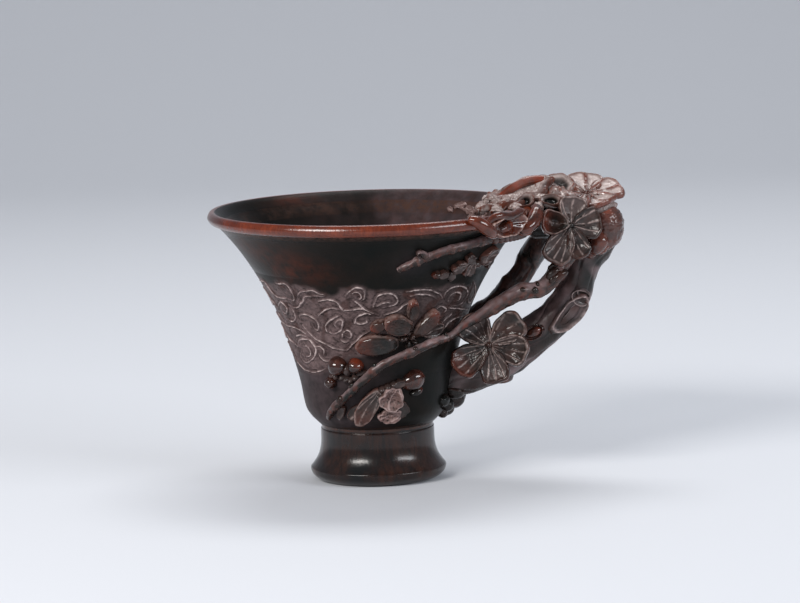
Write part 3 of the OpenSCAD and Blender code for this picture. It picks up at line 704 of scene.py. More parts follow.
# On the scroll lines the pale rubbed colour is a painted highlight as well as wear, and the dark hollow
# colour beside them is painted shade.
scroll_horn = horn("scroll_horn", rubbed_and_highlight=(0.560, 0.450, 0.430), hollow=(0.022, 0.015, 0.014),
                   rough=0.42, ground=(0.155, 0.106, 0.104), rub=(0.62, 0.98), hollow_fill=(0.16, 0.42),
                   **wall_look)
lip_horn = horn("lip_horn", deep=(0.060, 0.009, 0.003), brown=(0.250, 0.040, 0.010),
                rubbed_and_highlight=(0.230, 0.045, 0.014), hollow=(0.040, 0.010, 0.006), rough=0.29, coat=0.12,
                rub=(1.0, 1.5), streak=0.7, streak_mix=0.8, streak_axis=(1, 1, 0.2), shine=0.5,
                patch=3, bump=0.3)
foot_horn = horn("foot_horn", deep=(0.005, 0.0055, 0.006), brown=(0.040, 0.015, 0.009),
                 rubbed_and_highlight=(0.050, 0.018, 0.010), hollow=(0.006, 0.006, 0.006), rough=0.27,
                 coat=0.15, streak=2.0, streak_mix=0.85, patch=2, streak_axis=(1, 1, 0.06),
                 warm=(0.050, 0.014, 0.008), shine=0.3, bump=0.25)

# %% Finishes of the branches
# The pale colour on faces that look up is painted light with dust, and the lined colour draws the
# painted highlight on the scar's rims.
branch_horn = horn("branch_horn", deep=(0.008, 0.009, 0.008), brown=(0.036, 0.015, 0.011),
                   rubbed_and_highlight=(0.110, 0.050, 0.040), hollow=(0.005, 0.005, 0.005), rough=0.32,
                   patch=2, lined=(0.380, 0.300, 0.290), pale=(0.330, 0.230, 0.232),
                   rub=(0.68, 1.0), rub_rough=-0.08)
petal_horn = horn("petal_horn", deep=(0.009, 0.009, 0.008), brown=(0.050, 0.019, 0.013),
                  rubbed_and_highlight=(0.120, 0.048, 0.036), hollow=(0.005, 0.005, 0.005), rough=0.26,
                  patch=1.2, coat=0.15, shine=0.28, pale=(0.095, 0.068, 0.064), rub=(0.68, 1.0),
                  lined=(0.330, 0.250, 0.230), warm=(0.140, 0.022, 0.008))
dusty_horn = horn("dusty_horn", deep=(0.040, 0.018, 0.014), brown=(0.110, 0.055, 0.047),
                  rubbed_and_highlight=(0.340, 0.235, 0.220), hollow=(0.018, 0.011, 0.010), rough=0.34,
                  patch=1.2, shine=0.3, pale=(0.210, 0.132, 0.120), rub=(0.64, 0.95),
                  lined=(0.400, 0.290, 0.275))
bud_horn = horn("bud_horn", deep=(0.012, 0.006, 0.005), brown=(0.085, 0.026, 0.016),
                rubbed_and_highlight=(0.090, 0.024, 0.012), hollow=(0.010, 0.007, 0.007), rough=0.18,
                patch=0.8, coat=0.5, streak=1.6, streak_mix=0.7, rub=(0.95, 1.0), shine=0.4)
crown_horn = horn("crown_horn", deep=(0.036, 0.012, 0.008), brown=(0.105, 0.028, 0.014),
                  rubbed_and_highlight=(0.140, 0.036, 0.020), hollow=(0.600, 0.510, 0.480), rough=0.20,
                  patch=1.2, coat=0.4, hollow_fill=(0.24, 0.47), pale=(0.560, 0.470, 0.445),
                  rub=(0.64, 0.92), lined=(0.620, 0.520, 0.500), warm=(0.210, 0.030, 0.010))
lip_petal_horn = horn("lip_petal_horn", deep=(0.034, 0.009, 0.005), brown=(0.150, 0.028, 0.010),
                      rubbed_and_highlight=(0.220, 0.048, 0.018), hollow=(0.008, 0.006, 0.005), rough=0.20,
                      patch=1.2, coat=0.5, warm=(0.340, 0.050, 0.010), rub=(0.70, 1.0),
                      lined=(0.520, 0.360, 0.310))
print("finishes made:", len(bpy.data.materials))

# %% [markdown]
# The vessel is turned, so each part of it is a profile spun round the axis.
# A cylinder could be scaled ring by ring, but a spun profile keeps the curve of
# the wall exact, and its inside and outside close in one go.

# %% Spinning a profile


def spun(name, profile, steps=256):
    """A profile of radius and height pairs, spun round the cup's axis."""
    bpy.ops.object.select_all(action="DESELECT")
    bpy.ops.mesh.primitive_plane_add(size=1)
    piece = bpy.context.object
    piece.name = name
    bpy.ops.object.mode_set(mode="EDIT")
    bpy.ops.mesh.select_all(action="SELECT")
    bpy.ops.mesh.delete(type="VERT")
    bpy.ops.object.mode_set(mode="OBJECT")
    points = [(r * MM, 0, z * MM) for r, z in profile]
    piece.data.from_pydata(points, [(i, i + 1) for i in range(len(points) - 1)], [])
    bpy.ops.object.mode_set(mode="EDIT")
    bpy.ops.mesh.select_all(action="SELECT")
    bpy.ops.mesh.spin(steps=steps, angle=2 * math.pi, center=(0, 0, 0), axis=(0, 0, 1))
    bpy.ops.mesh.select_all(action="SELECT")
    bpy.ops.mesh.remove_doubles(threshold=1e-6)
    bpy.ops.mesh.normals_make_consistent(inside=False)
    bpy.ops.object.mode_set(mode="OBJECT")
    return piece


# %% [markdown]
# The wall isn't one colour. The left and the foot are rubbed to a mauve brown, the upper wall has
# reddish clouds, and the inside is paler towards the handle and darkened with painted shade opposite.
# Just above the foot a painted shadow darkens the wall. Painting a picture on it would need an image,
# so each tone is a soft spot or a slope, given by its angle round the cup and its height.

# %% Wear on the wall
RED_CLOUDS = [(-131, 82, 13, 6, 0.85), (-114, 80, 10, 5, 0.3), (-150, 88, 12, 5, 0.5),
              (40, 84, 24, 7, 0.8), (120, 80, 20, 8, 0.7)]
WORN_SIDE = -165
FROST = (-73, 83)
TINT_FROM, TINT_TO = -46, 18
BROWN_SPOT = (-30, 97)
DARK_PATCH_AT = -4


def around_gap(angle, middle):
    """How far an angle is from another, the short way round, from -180 to 180."""
    return (angle - middle + 180) % 360 - 180


def wall_warm(angle, z):
    """Reddish clouds in the horn of the upper wall."""
    total = 0
    for middle, height, wide, tall, much in RED_CLOUDS:
        gap = around_gap(angle, middle)
        total = total + much * np.exp(-(gap / wide) ** 2 - ((z - height) / tall) ** 2)
    return total


def wall_pale(angle, z):
    """The left and the foot of the wall are worn, and one spot is frosted."""
    left = 1 - smoothstep(np.abs(around_gap(angle, WORN_SIDE)), 30, 110)
    aside, above_it = around_gap(angle, FROST[0]) / 7, (z - FROST[1]) / 4
    return 0.9 * left * smoothstep(-z, -66, -42) + 0.5 * np.exp(-aside ** 2 - above_it ** 2)


def inside_look(points):
    """How warm, pale and dark the inside is: paler towards the handle, with painted shade opposite and
    in a dark patch.
    """
    x, z = points[:, 0], points[:, 2]
    tint = smoothstep(x, TINT_FROM, TINT_TO)
    cloud = ripple(points, 9, 31) + 0.6 * ripple(points, 3.5, 32)
    brown = np.exp(-((x - BROWN_SPOT[0]) / 10) ** 2 - ((z - BROWN_SPOT[1]) / 3) ** 2)
    dark_patch = np.exp(-((x - DARK_PATCH_AT + 5 * cloud) / 8) ** 2)
    warm = 0.3 * tint + 0.7 * brown + 0.5 * tint * smoothstep(cloud, 0.0, 0.7)
    # Painted shade on the side away from the handle, in clouds and in a dark patch.
    shade = 0.85 * (1 - tint) + 0.55 * dark_patch + 0.25 * cloud * (1 - tint) - 0.5 * brown
    return warm, tint * (0.78 + 0.22 * cloud), np.clip(shade, 0, 0.92)


def paint_wall(piece):
    """Stores the wear of the wall, and a painted shadow where it meets the foot."""
    points = read_points(piece)
    z = points[:, 2]
    angle = np.degrees(np.arctan2(points[:, 1], points[:, 0]))
    outside = np.hypot(points[:, 0], points[:, 1]) > wall_radius(z) - 1
    # A painted shadow on the wall just above the foot.
    painted_foot_shadow = 0.8 * (1 - smoothstep(z, FOOT_HEIGHT - 1, FOOT_HEIGHT + 3))
    outer_look = (wall_warm(angle, z), wall_pale(angle, z), painted_foot_shadow)
    for mark, out, within in zip(("warm", "pale", "shade"), outer_look, inside_look(points)):
        paint(piece, mark, np.where(outside, out, within))


# %% The bowl
SHEET_FOOT, SHEET_TOP = 39.4, 78.4
SINK_DEPTH = 0.5
CORNER_HEIGHT = 36.5
CORNER_RADIUS = 9
BOWL_CREASE, EDGE_CREASE = 35, 50


def inner_radius(z):
    """The radius of the bowl's inside at a height."""
    slope = float(wall_slope(min(z, BODY_TOP - 0.6)))
    return float(wall_radius(z)) - WALL * math.hypot(1, slope)


heights = np.concatenate([outline_z[outline_z < 40][::2], np.arange(41, BODY_TOP - 0.3, 1.5)])
sink = SINK_DEPTH * smoothstep(heights, SHEET_FOOT + 1.1, SHEET_FOOT + 3.1) \
    * (1 - smoothstep(heights, SHEET_TOP - 2.9, SHEET_TOP - 0.9))
outer = [(float(wall_radius(z) - d), z) for z, d in zip(heights, sink)]
outer.append((BOWL_TOP_RADIUS, BODY_TOP))
inner = [(inner_radius(z), z) for z in np.arange(BODY_TOP, CORNER_HEIGHT, -1.5)]
corner = [(inner_radius(CORNER_HEIGHT) - CORNER_RADIUS * (1 - math.sin(a)),
           CORNER_HEIGHT - CORNER_RADIUS * math.cos(a)) for a in np.radians(np.arange(90, -1, -10))]
bowl = spun("bowl_wall", [(0, FOOT_HEIGHT)] + outer + inner + corner
            + [(0, CORNER_HEIGHT - CORNER_RADIUS)])
paint_wall(bowl)
finish_piece([bowl], "bowl_wall", ["bowl"], wall_horn, crease=BOWL_CREASE)

# %% [markdown]
# The lip is a bead that rolls outwards, red where the horn is thin. Its inner
# slope goes on as the bowl's inside does, so that part wears the wall's
# finish. The change lies just inside the crest, where the photograph has it.

# %% The lip
LIP_SHARES = [(0.84, 0.1), (0.955, 0.3), (1, 0.5), (0.985, 0.65), (0.94, 0.81), (0.875, 0.94),
              (0.77, 1), (0.61, 0.95), (0.45, 0.77), (0.265, 0.47), (0.11, 0.2)]
CREST_SHARE = 0.66
CREST_BLEND = 0.06
lip_in = inner_radius(BODY_TOP)
lip_thick = MOUTH_RADIUS - lip_in
lip_profile = [(lip_in + lip_thick * s[0], BODY_TOP + (LIP_TOP - BODY_TOP) * s[1])
               for s in smooth(LIP_SHARES, 4)]
lip = spun("lip_bead", [(lip_in, BODY_TOP), (BOWL_TOP_RADIUS + 0.6, BODY_TOP)] + lip_profile
           + [(lip_in, BODY_TOP)])


def lip_share(r):
    """How far out a radius lies on the lip, from 0 inside to 1 outside."""
    return (r - lip_in) / lip_thick


lip_points = read_points(lip)
lip_inside = 1 - smoothstep(lip_share(np.hypot(lip_points[:, 0], lip_points[:, 1])),
                            CREST_SHARE - CREST_BLEND, CREST_SHARE + CREST_BLEND)
# The inside's painted shade goes on over the lip's inner slope.
for mark, values in zip(("warm", "pale", "shade"), inside_look(lip_points)):
    paint(lip, mark, values * lip_inside)
finish_piece([lip], "lip_bead", ["lip"], lip_horn, crease=EDGE_CREASE)
lip.data.materials.append(wall_horn)
for face in lip.data.polygons:
    if lip_share(math.hypot(face.center.x, face.center.y) / MM) < CREST_SHARE:
        face.material_index = 1

# %% [markdown]
# The foot is a turned ring with a rounded tread, drawn in to a waist under the
# bowl. It is closed underneath, where the photograph shows nothing.

# %% The foot
FOOT_FLARE = 3.9
UNDER_SHARES = [(0, -0.2), (0.02, 0.2), (0.06, 0.55), (0.12, 0.86), (0.19, 1), (0.225, 0.995)]
WAIST_SHARES = [(0.235, 0.975), (0.26, 0.86), (0.31, 0.66), (0.38, 0.42), (0.47, 0.2),
                (0.58, 0.05), (0.7, -0.02), (0.9, -0.03), (0.93, -0.1), (1, -0.1)]
foot_profile = [(WAIST_RADIUS + FOOT_FLARE * s[1], FOOT_HEIGHT * s[0])
                for s in list(smooth(UNDER_SHARES, 5)) + list(smooth(WAIST_SHARES, 6))]
foot = spun("foot_ring", [(0, 0)] + foot_profile + [(0, FOOT_HEIGHT)])
finish_piece([foot], "foot_ring", ["foot"], foot_horn, crease=EDGE_CREASE)

# %% [markdown]
# The band of scrolls is a carved ground: the carver cut the field back and left
# fine raised lines. Each line could be a thin tube laid on the wall, but carved
# lines swell out of their ground and share its pits. So the band is a fine
# sheet wrapped round the wall, whose points rise along the lines and are
# pitted between them. Each line is listed by angles round the cup and heights.

# %% Scroll lines
SCROLLS = [
    [(-174, 73.5), (-159, 74.6), (-157, 72.4), (-154, 70), (-148, 68.9), (-143, 69.7)],
    [(-146, 74.6), (-143, 75.1), (-138, 75.3), (-136, 74.1), (-135, 70.7), (-137, 68.9),
     (-142, 69.3)],
    [(-144, 66.7), (-140, 66.1), (-136, 66.4), (-132, 67.8), (-129, 69.6), (-126, 71),
     (-120, 71.3), (-115, 71.4)],
    [(-132, 70.8), (-129, 72.4), (-124, 73.3), (-121, 73.3), (-118, 72.4), (-115, 71.7)],
    [(-120, 69.2), (-116, 69.9), (-112, 70), (-109, 69.1), (-107, 65.8)],
    [(-123, 63.7), (-120, 65.1), (-116, 66.4), (-112, 66.9), (-109, 66.3)],
    [(-107, 65.8), (-103, 66.4), (-97, 66.8), (-93, 65.7), (-88, 64.1)],
    [(-100, 70.1), (-98, 68.7), (-96, 66.9), (-93, 65.7)],
    [(-104, 71.6), (-102, 73.2), (-99, 74.6), (-96, 74.8), (-94, 73.4), (-94, 70.9),
     (-96.5, 69.9)],
    [(-100, 72.6), (-98, 73.3), (-96, 72.6), (-95.6, 71.2), (-97, 70.6)],
    [(-90, 66.8), (-89, 69.6), (-88, 71.3), (-85, 72.2), (-81, 72.2), (-78, 71), (-77, 69),
     (-79, 67.7), (-82, 67.4), (-85, 67.1)],
    [(-88, 67.6), (-85.5, 69), (-83, 69.2), (-81, 68.6)],
    [(-138, 62.4), (-137, 63.4), (-133, 63.9), (-129, 63.4), (-126, 62.2), (-124.6, 60.4),
     (-126, 58.2), (-129, 58.5), (-129.5, 60)],
    [(-159, 58.2), (-149, 58.1), (-143, 57.5), (-138, 56.5)],
    [(-138, 59.5), (-135, 57.4), (-130, 54.7), (-124, 53.4), (-119, 52.1), (-113, 51),
     (-109, 50.7)],
    [(-109, 50.7), (-105, 52.5), (-101, 54.6), (-97, 56.7), (-93, 58.4)],
    [(-151, 50.6), (-148, 52.6), (-142, 54.1), (-136, 54.2), (-132.6, 52.5), (-132, 50),
     (-136, 47.2), (-142, 45.5), (-148, 45.4), (-151, 47.2), (-148, 49.6)],
    [(-143, 51.6), (-138.6, 51.5), (-137, 49.8), (-139, 48.2), (-143, 47.6)],
    [(-164, 46.7), (-162, 44.9), (-156, 43.4), (-148, 42), (-138, 41.8), (-132, 42.5),
     (-127, 43.4)],
    [(-132, 51.6), (-128, 51.8), (-125, 50.7), (-126, 49)],
    [(-130, 49), (-129, 47.9), (-125, 46.5), (-121, 46.8)],
    [(-101, 61.2), (-98, 64), (-94, 64.9), (-91, 64.2)],
    [(-100, 61.4), (-97, 60.9), (-94, 61.6), (-94, 63)],
    [(-120, 57.8), (-120, 59.7), (-117, 61.5), (-113, 63.2), (-110, 63.8)],
    [(-118, 57.8), (-115, 57.1), (-111, 58.2), (-109, 60.1), (-108, 62.3), (-111, 62.4),
     (-114, 60.8), (-112.6, 59.4)],
    [(-110, 55.7), (-109, 57.6), (-106, 58.6), (-104, 57.3), (-105, 55.6), (-107.4, 56.2)],
    [(-111, 54.6), (-108.6, 53.9), (-106, 54.3)],
    [(-166, 54.6), (-162, 52.9), (-156, 52), (-151, 50.6)],
    [(-161, 64.3), (-155, 66.4), (-150, 67.4), (-147, 65.6), (-150, 63.3), (-154, 63.6)],
    [(-143, 66.4), (-141.4, 64.5), (-142, 62), (-146, 60.4), (-152, 61)],
    [(-149, 54.5), (-143, 55.5), (-138, 55.3)],
    [(-172, 50.3), (-168, 48), (-164, 46.7)],
    [(-73, 72.5), (-69, 72.8), (-64, 72.8), (-59, 72.2), (-54, 70.6), (-50, 68.5)],
    [(-71, 70.8), (-66, 71.1), (-60, 70.5), (-55, 68.8)],
    [(-50, 68.5), (-49, 71.2), (-45, 72.5), (-39, 72.2), (-33, 70.6), (-29, 68.2), (-31, 65.9),
     (-36, 65), (-42, 65.2)],
    [(-46, 67.3), (-46, 69.6), (-42, 70.5), (-37, 69.2), (-37, 67.2), (-41, 67)],
    [(-43, 64.6), (-33, 63.3), (-16, 61.5)],
    [(-52, 60.6), (-46, 59.2), (-43, 60.6), (-38, 62)],
    [(-43, 56.4), (-39, 58.6), (-32, 59.8), (-21, 59.7)],
    [(-54, 64.2), (-50, 65.4), (-45, 64.4), (-46, 62.8)],
    [(-28, 72.6), (-22, 70.4), (-17, 67), (-20, 64.6), (-25, 66)],
    [(-84, 64), (-80, 64.9), (-76, 66), (-72, 67.8), (-68, 69)],
    [(-24, 57), (-18, 55), (-14, 57.6)],
    [(-183, 68), (-179, 70.6), (-173, 71), (-168, 69), (-168, 66), (-172, 64.6), (-177, 65.4),
     (-177, 67.6), (-173, 68.2)],
    [(-168, 66), (-164, 66.6), (-161, 64.3)],
    [(-183, 60.4), (-178, 61.6), (-172, 60.8), (-166, 59), (-159, 58.2)],
    [(-180, 56.4), (-175, 57.6), (-170, 56.4), (-170, 53.6), (-175, 52.6), (-178, 54.2),
     (-174.6, 55.4)],
    [(-183, 49.6), (-177, 50.8), (-172, 50.3)],
    [(-167, 62), (-163, 61.4), (-160, 60)]]
BAND_TOP = [(-180, 75), (-160, 75.5), (-150, 74), (-143, 76), (-128, 74.6), (-112, 72), (-98, 75.4),
            (-82, 73.4), (-64, 73.6), (-44, 73.4), (-28, 72), (-16, 69), (0, 69)]
BAND_FOOT = [(-180, 47), (-160, 43.4), (-140, 41.2), (-122, 44), (-108, 47.4), (-96, 49.5),
             (-80, 54), (-60, 57), (-45, 56), (-30, 55), (0, 56)]

# %% Distance to a line
FAR_OFF = 9.0


def line_distance(u, v, line):
    """How far points are from a line, and how far along it they are, 0 to 1."""
    best, along = np.full(len(u), FAR_OFF), np.zeros(len(u))
    count = len(line) - 1
    for k, (p, q) in enumerate(zip(line[:-1], line[1:])):
        dx, dy = q - p
        t = np.clip(((u - p[0]) * dx + (v - p[1]) * dy) / (dx * dx + dy * dy + 1e-9), 0, 1)
        gap = np.hypot(u - p[0] - t * dx, v - p[1] - t * dy)
        closer = gap < best
        best = np.where(closer, gap, best)
        along = np.where(closer, (k + t) / count, along)
    return best, along


def enclosed(u, v, line):
    """Which points the line goes round, when its ends are joined."""
    inside = np.zeros(len(u), bool)
    for p, q in zip(line, np.roll(line, -1, axis=0)):
        crosses = (p[1] > v) != (q[1] > v)
        inside ^= crosses & (u < p[0] + (v - p[1]) * (q[0] - p[0]) / (q[1] - p[1] + 1e-9))
    return inside


# %% Carving the lines
LINE_HEIGHT = 0.5
LINE_WIDTH = 0.25
SECOND_LINE_AT = 0.95
SECOND_LINE_WIDTH = 0.17
CUSHION_HEIGHT = 0.26
SLANT = 1.14
WOBBLE_ROUND, WOBBLE_UP = 0.7, 0.30
NEAR_ROUND, NEAR_UP = 6, 4
LOOP_SHARE = 0.55


def carve_lines(angle, z, flat, strokes):
    """The height of the raised lines, of the fields that they enclose, and the
    distance to the nearest line, at every point of a sheet."""
    wobble_a = WOBBLE_ROUND * ripple(flat, 6, 15)
    wobble_z = WOBBLE_UP * ripple(flat, 5, 16)
    broken = smoothstep(ripple(flat, 5.5, 18), 0.0, 0.25)
    ridge, dish = np.zeros(len(z)), np.zeros(len(z))
    nearest = np.full(len(z), FAR_OFF)
    for number, stroke in enumerate(strokes):
        line = smooth(stroke, 4)
        near = (angle > line[:, 0].min() - NEAR_ROUND) & (angle < line[:, 0].max() + NEAR_ROUND) \
            & (z > line[:, 1].min() - NEAR_UP) & (z < line[:, 1].max() + NEAR_UP)
        index = np.nonzero(near)[0]
        if len(index) == 0:
            continue
        per_degree = float(wall_radius(line[:, 1].mean())) * math.pi / 180
        drawn = np.stack([line[:, 0] * per_degree, line[:, 1] * SLANT], -1)
        u = (angle[index] + wobble_a[index]) * per_degree
        v = (z[index] + wobble_z[index]) * SLANT
        gap, t = line_distance(u, v, drawn)
        taper = 0.35 + 0.65 * np.sin(math.pi * np.clip(t, 0.02, 0.98)) ** 0.5
        beads = 1 + 0.16 * np.sin(t * len(drawn) * 1.1 + number)
        width = LINE_WIDTH * (0.65 + 0.5 * taper) * beads
        first = np.exp(-(gap / width) ** 2)
        second = 0.5 * np.exp(-((gap - SECOND_LINE_AT) / SECOND_LINE_WIDTH) ** 2)
        raised = LINE_HEIGHT * taper * np.maximum(first, second * broken[index])
        ridge[index] = np.maximum(ridge[index], raised)
        nearest[index] = np.minimum(nearest[index], gap)
        span = np.linalg.norm(drawn[0] - drawn[-1])
        if span < LOOP_SHARE * np.linalg.norm(np.diff(drawn, axis=0), axis=1).sum():
            cushion = CUSHION_HEIGHT * smoothstep(gap, -0.1, 0.5)
            dish[index] = np.maximum(dish[index], np.where(enclosed(u, v, drawn), cushion, 0))
    return ridge, dish, nearest


# %% The carved sheet
MIRROR_SHIFT = -6
SHEET_OFF = 0.03
SHEET_THICKNESS = 0.6 * MM
GROOVE_DEPTH, GROOVE_AT, GROOVE_WIDTH = 0.19, 0.82, 0.3
EDGE_SINK, BORDER_SINK = 0.1, 0.5
SHEET_CREASE = 75
FRONT_GRID, REAR_GRID = (260, 190), (320, 150)


def wall_ground(angle):
    """The carved ground is dusty at the left and wears to dark at the right."""
    return np.interp(angle, (-180, -150, -105, -70, -30, 0), (0.8, 1.0, 0.9, 0.42, 0.25, 0.4))


def band_share(angle, side, z, flat, nearest):
    """Where the band is: 1 between its wandering edges and along its lines, 0 outside."""
    top = np.interp(side, *np.array(BAND_TOP).T)
    foot_z = np.interp(side, *np.array(BAND_FOOT).T)
    wander = 1.1 * ripple(flat, 9, 5) + 0.6 * ripple(flat, 3, 6)
    inside = smoothstep(top - z + wander, -0.8, 1.6) * smoothstep(z - foot_z + wander, -1, 2)
    inside = inside * smoothstep(np.abs(around_gap(angle, 0)), 8, 15)
    return np.maximum(inside, 0.8 * np.exp(-nearest ** 2))


def carved_sheet(name, low_angle, high_angle, strokes, grid, mirrored=False):
    """A carved ground between two angles, from below the band to above it."""
    bpy.ops.object.select_all(action="DESELECT")
    bpy.ops.mesh.primitive_grid_add(x_subdivisions=grid[0], y_subdivisions=grid[1], size=2)
    piece = bpy.context.object
    piece.name = name
    co = stored_points(piece)
    angle = low_angle + (co[:, 0] + 1) / 2 * (high_angle - low_angle)
    z = SHEET_FOOT + (co[:, 1] + 1) / 2 * (SHEET_TOP - SHEET_FOOT)
    flat = on_wall(angle, z)
    side = MIRROR_SHIFT - angle if mirrored else angle
    ridge, dish, nearest = carve_lines(angle, z, flat, strokes)
    inside = band_share(angle, side, z, flat, nearest)
    groove = -GROOVE_DEPTH * np.exp(-((nearest - GROOVE_AT) / GROOVE_WIDTH) ** 2)
    pits = 0.085 * ripple(flat, 0.95, 8) + 0.06 * ripple(flat, 1.8, 9) + 0.08 * ripple(flat, 4, 10)
    border = np.minimum(1 + co[:, 1], 1 - co[:, 1])
    sunk = EDGE_SINK * (1 - smoothstep(border, 0.01, 0.14)) + BORDER_SINK * (border < 0.008)
    off = SHEET_OFF + ridge + inside * (groove + pits + dish) - sunk
    lean = np.arctan(wall_slope(z))
    out = wall_radius(z) + off * np.cos(lean)
    a = np.radians(angle)
    place_points(piece, np.stack([out * np.cos(a), out * np.sin(a), z - off * np.sin(lean)], -1))
    # Grooves beside the lines and the pits count as deep hollows, so the dark hollow colour lays
    # painted shade there.
    shaded_hollows = inside * (groove * 2.4 + pits * 4.5)
    paint(piece, "relief", 0.5 + 0.5 * (ridge * 2.7 - 0.25 * inside + shaded_hollows))
    bare = 0.5 * smoothstep(ripple(flat, 5, 44), 0.1, 0.5)
    hollow_fill = (0.2 + 0.8 * wall_ground(side)) * (0.86 + 0.14 * ripple(flat, 8, 45))
    paint(piece, "ground", inside * hollow_fill * (1 - bare))
    paint(piece, "warm", wall_warm(angle, z) + bare * inside)
    paint(piece, "pale", wall_pale(angle, z))
    solid = piece.modifiers.new("thickness", "SOLIDIFY")
    solid.thickness = SHEET_THICKNESS
    solid.offset = -1
    bpy.ops.object.modifier_apply(modifier="thickness")
    piece.data.materials.append(scroll_horn)
    bpy.ops.object.shade_smooth_by_angle(angle=math.radians(SHEET_CREASE))
    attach(piece, BODY)
    print(name, len(piece.data.polygons), "faces")
    return piece


# %% [markdown]
# The front band is made as two sheets, which keeps each of them light. The back
# of the cup isn't seen, so it gets the front's lines mirrored.

# %% The three sheets
front_left = carved_sheet("scroll_ground_left", -183, -93, SCROLLS, FRONT_GRID)
carved_sheet("scroll_ground_right", -93, -3, SCROLLS, FRONT_GRID)
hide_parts("scroll_band")
rear_strokes = [[(MIRROR_SHIFT - p[0], p[1]) for p in stroke] for stroke in SCROLLS]
rear_ground = carved_sheet("rear_scroll_ground", -3, 177, rear_strokes, REAR_GRID, mirrored=True)
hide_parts("rear_scroll_band")

# %% [markdown]
# Petals and buds in relief. On the cup they are cut from the wall itself, so
# their backs are never seen. Each is listed by its angle round the cup, its
# height, its length and width, and the way it turns, and it is shaped on the
# wall's skin. Beside a blossom lie small buds and bits of bark, as domes.

# %% Petals on the wall


def wall_petals(rows, **shared):
    """Petals from rows of angle, height, length, width, turn and what else differs."""
    return [petal("petal", wall_skin(angle, z), length, width, turn,
                  **{**shared, "seed": number, **more})
            for number, (angle, z, length, width, turn, more) in enumerate(rows, 1)]


# %% Side blossom, seen from the side, at the middle of the wall
# Each rim of this blossom carries a pale painted highlight.
side = wall_petals([
    (-88.2, 53.2, 16.0, 8.6, 184, dict(rise=3.0, hollow=0.04, rim=0.66, egg=0.1, warm=1.0, pit=0.12)),
    (-75.8, 60.4, 11.4, 8.4, 165, dict(rise=2.8, hollow=0.22, rim=0.80, roll=0.15, egg=0.1, warm=0.4,
                                       pit=0.14)),
    (-87.4, 60.4, 6.6, 5.0, 215, dict(rise=2.6, hollow=0.0, rim=0.6, warm=1.0)),
    (-68.2, 65.4, 9.6, 4.6, 95, dict(rise=2.0, hollow=0.4, rim=0.8, roll=0.25, warm=0.8)),
    (-58.8, 60, 13.6, 6.2, 53, dict(rise=3.0, hollow=0.1, rim=0.7, curl=0.7, warm=0.9, pit=0.12)),
    (-52, 57, 9.5, 6.0, 20, dict(rise=1.4, hollow=0.35, roll=0.3, veins=6, pale=0.4)),
    (-72.2, 55.2, 3.6, 2.6, 200, dict(rise=2.6, dome=True)),
    (-66.9, 55.8, 3.2, 2.1, 60, dict(rise=2.8, dome=True)),
    (-68.2, 52.4, 4.4, 2.0, 280, dict(rise=2.2, dome=True)),
    (-69.6, 57.4, 2.6, 2.0, 100, dict(rise=2.8, dome=True)),
    (-64, 53.2, 3.4, 2.0, -30, dict(rise=1.9, dome=True))], wave=0.35, pale=0.06, edge_line=0.5)
finish_piece(side, "side_blossom_petals", ["side_blossom"], petal_horn, rounds=5,
             scale=0.22)

# %% Bud cluster above the front branch
buds = wall_petals([
    (-116.3, 45.1, 7.2, 7.0, 60, dict(rise=4.4)),
    (-103.4, 45.4, 5.4, 6.0, 60, dict(rise=4.0, warm=1.0)),
    (-124, 38.9, 4.4, 4.8, 0, dict(rise=3.4))], wave=0.1, dome=True)
finish_piece(buds, "bud_cluster", ["bud_group"], bud_horn)
calyx = wall_petals([
    (-109.6, 43.6, 4.6, 3.2, 90, dict(rise=2.6)), (-113.4, 41.2, 2.8, 2.8, 40, dict(rise=3.0)),
    (-110.4, 40.6, 2.6, 2.8, 90, dict(rise=3.2)), (-107.2, 40.2, 2.6, 2.8, 90, dict(rise=3.0)),
    (-104, 41, 2.8, 3.0, 90, dict(rise=2.7)), (-118.4, 41.3, 3.0, 2.6, 90, dict(rise=2.4)),
    (-121, 41.6, 3.4, 2.2, 200, dict(rise=2.0)), (-99.8, 42.6, 4.6, 2.6, 20, dict(rise=2.0))],
    dome=True, wave=0.4, pale=0.5, around=36, along=24)
finish_piece(calyx, "bud_calyx", [], petal_horn, rounds=5, scale=0.12)

# %% [markdown]
# The lowest blossom in relief is the most worn. Two of its petals are pale with
# dust and pitted, one bud is polished, and the rest are dark, so it is made as
# three pieces with a finish each.

# %% Relief blossom above the foot
# One petal here carries a pale painted highlight along its rim.
relief = wall_petals([
    (-58.6, 34.6, 5.4, 3.2, 25, dict(rise=2.2, dome=True, warm=0.6)),
    (-95.8, 30.6, 15.4, 6.8, 236, dict(rise=2.9, hollow=0.12, veins=6, roll=0.15, curl=0.4, egg=0.05,
                                       blunt=0.8, warm=0.5, pale=0.3, pit=0.15, edge_line=0.6)),
    (-104.5, 28.2, 9.0, 5.4, 215, dict(rise=1.5, hollow=0.2, veins=4, pale=0.6, pit=0.12)),
    (-70.6, 28.8, 6.4, 5.6, 300, dict(rise=1.5, hollow=0.3, wave=1.0, pale=0.5)),
    (-85.6, 36.5, 3.0, 2.8, 0, dict(rise=2.9, dome=True, pale=0.4)),
    (-81.6, 37.4, 2.8, 2.6, 0, dict(rise=2.9, dome=True, pale=0.4)),
    (-77.6, 38.2, 2.6, 2.6, 0, dict(rise=2.8, dome=True, pale=0.4)),
    (-72.6, 38.6, 5.6, 3.0, 200, dict(rise=2.4, hollow=0.2, pale=0.6, wave=0.8)),
    (-88.6, 34.2, 2.4, 2.4, 0, dict(rise=2.7, dome=True, pale=0.4)),
    (-118.6, 27.6, 6.4, 3.0, 60, dict(rise=1.6, hollow=0.3, pale=0.6))], wave=0.4)
finish_piece(relief, "relief_blossom_petals", ["relief_blossom"], petal_horn, rounds=5,
             scale=0.22)
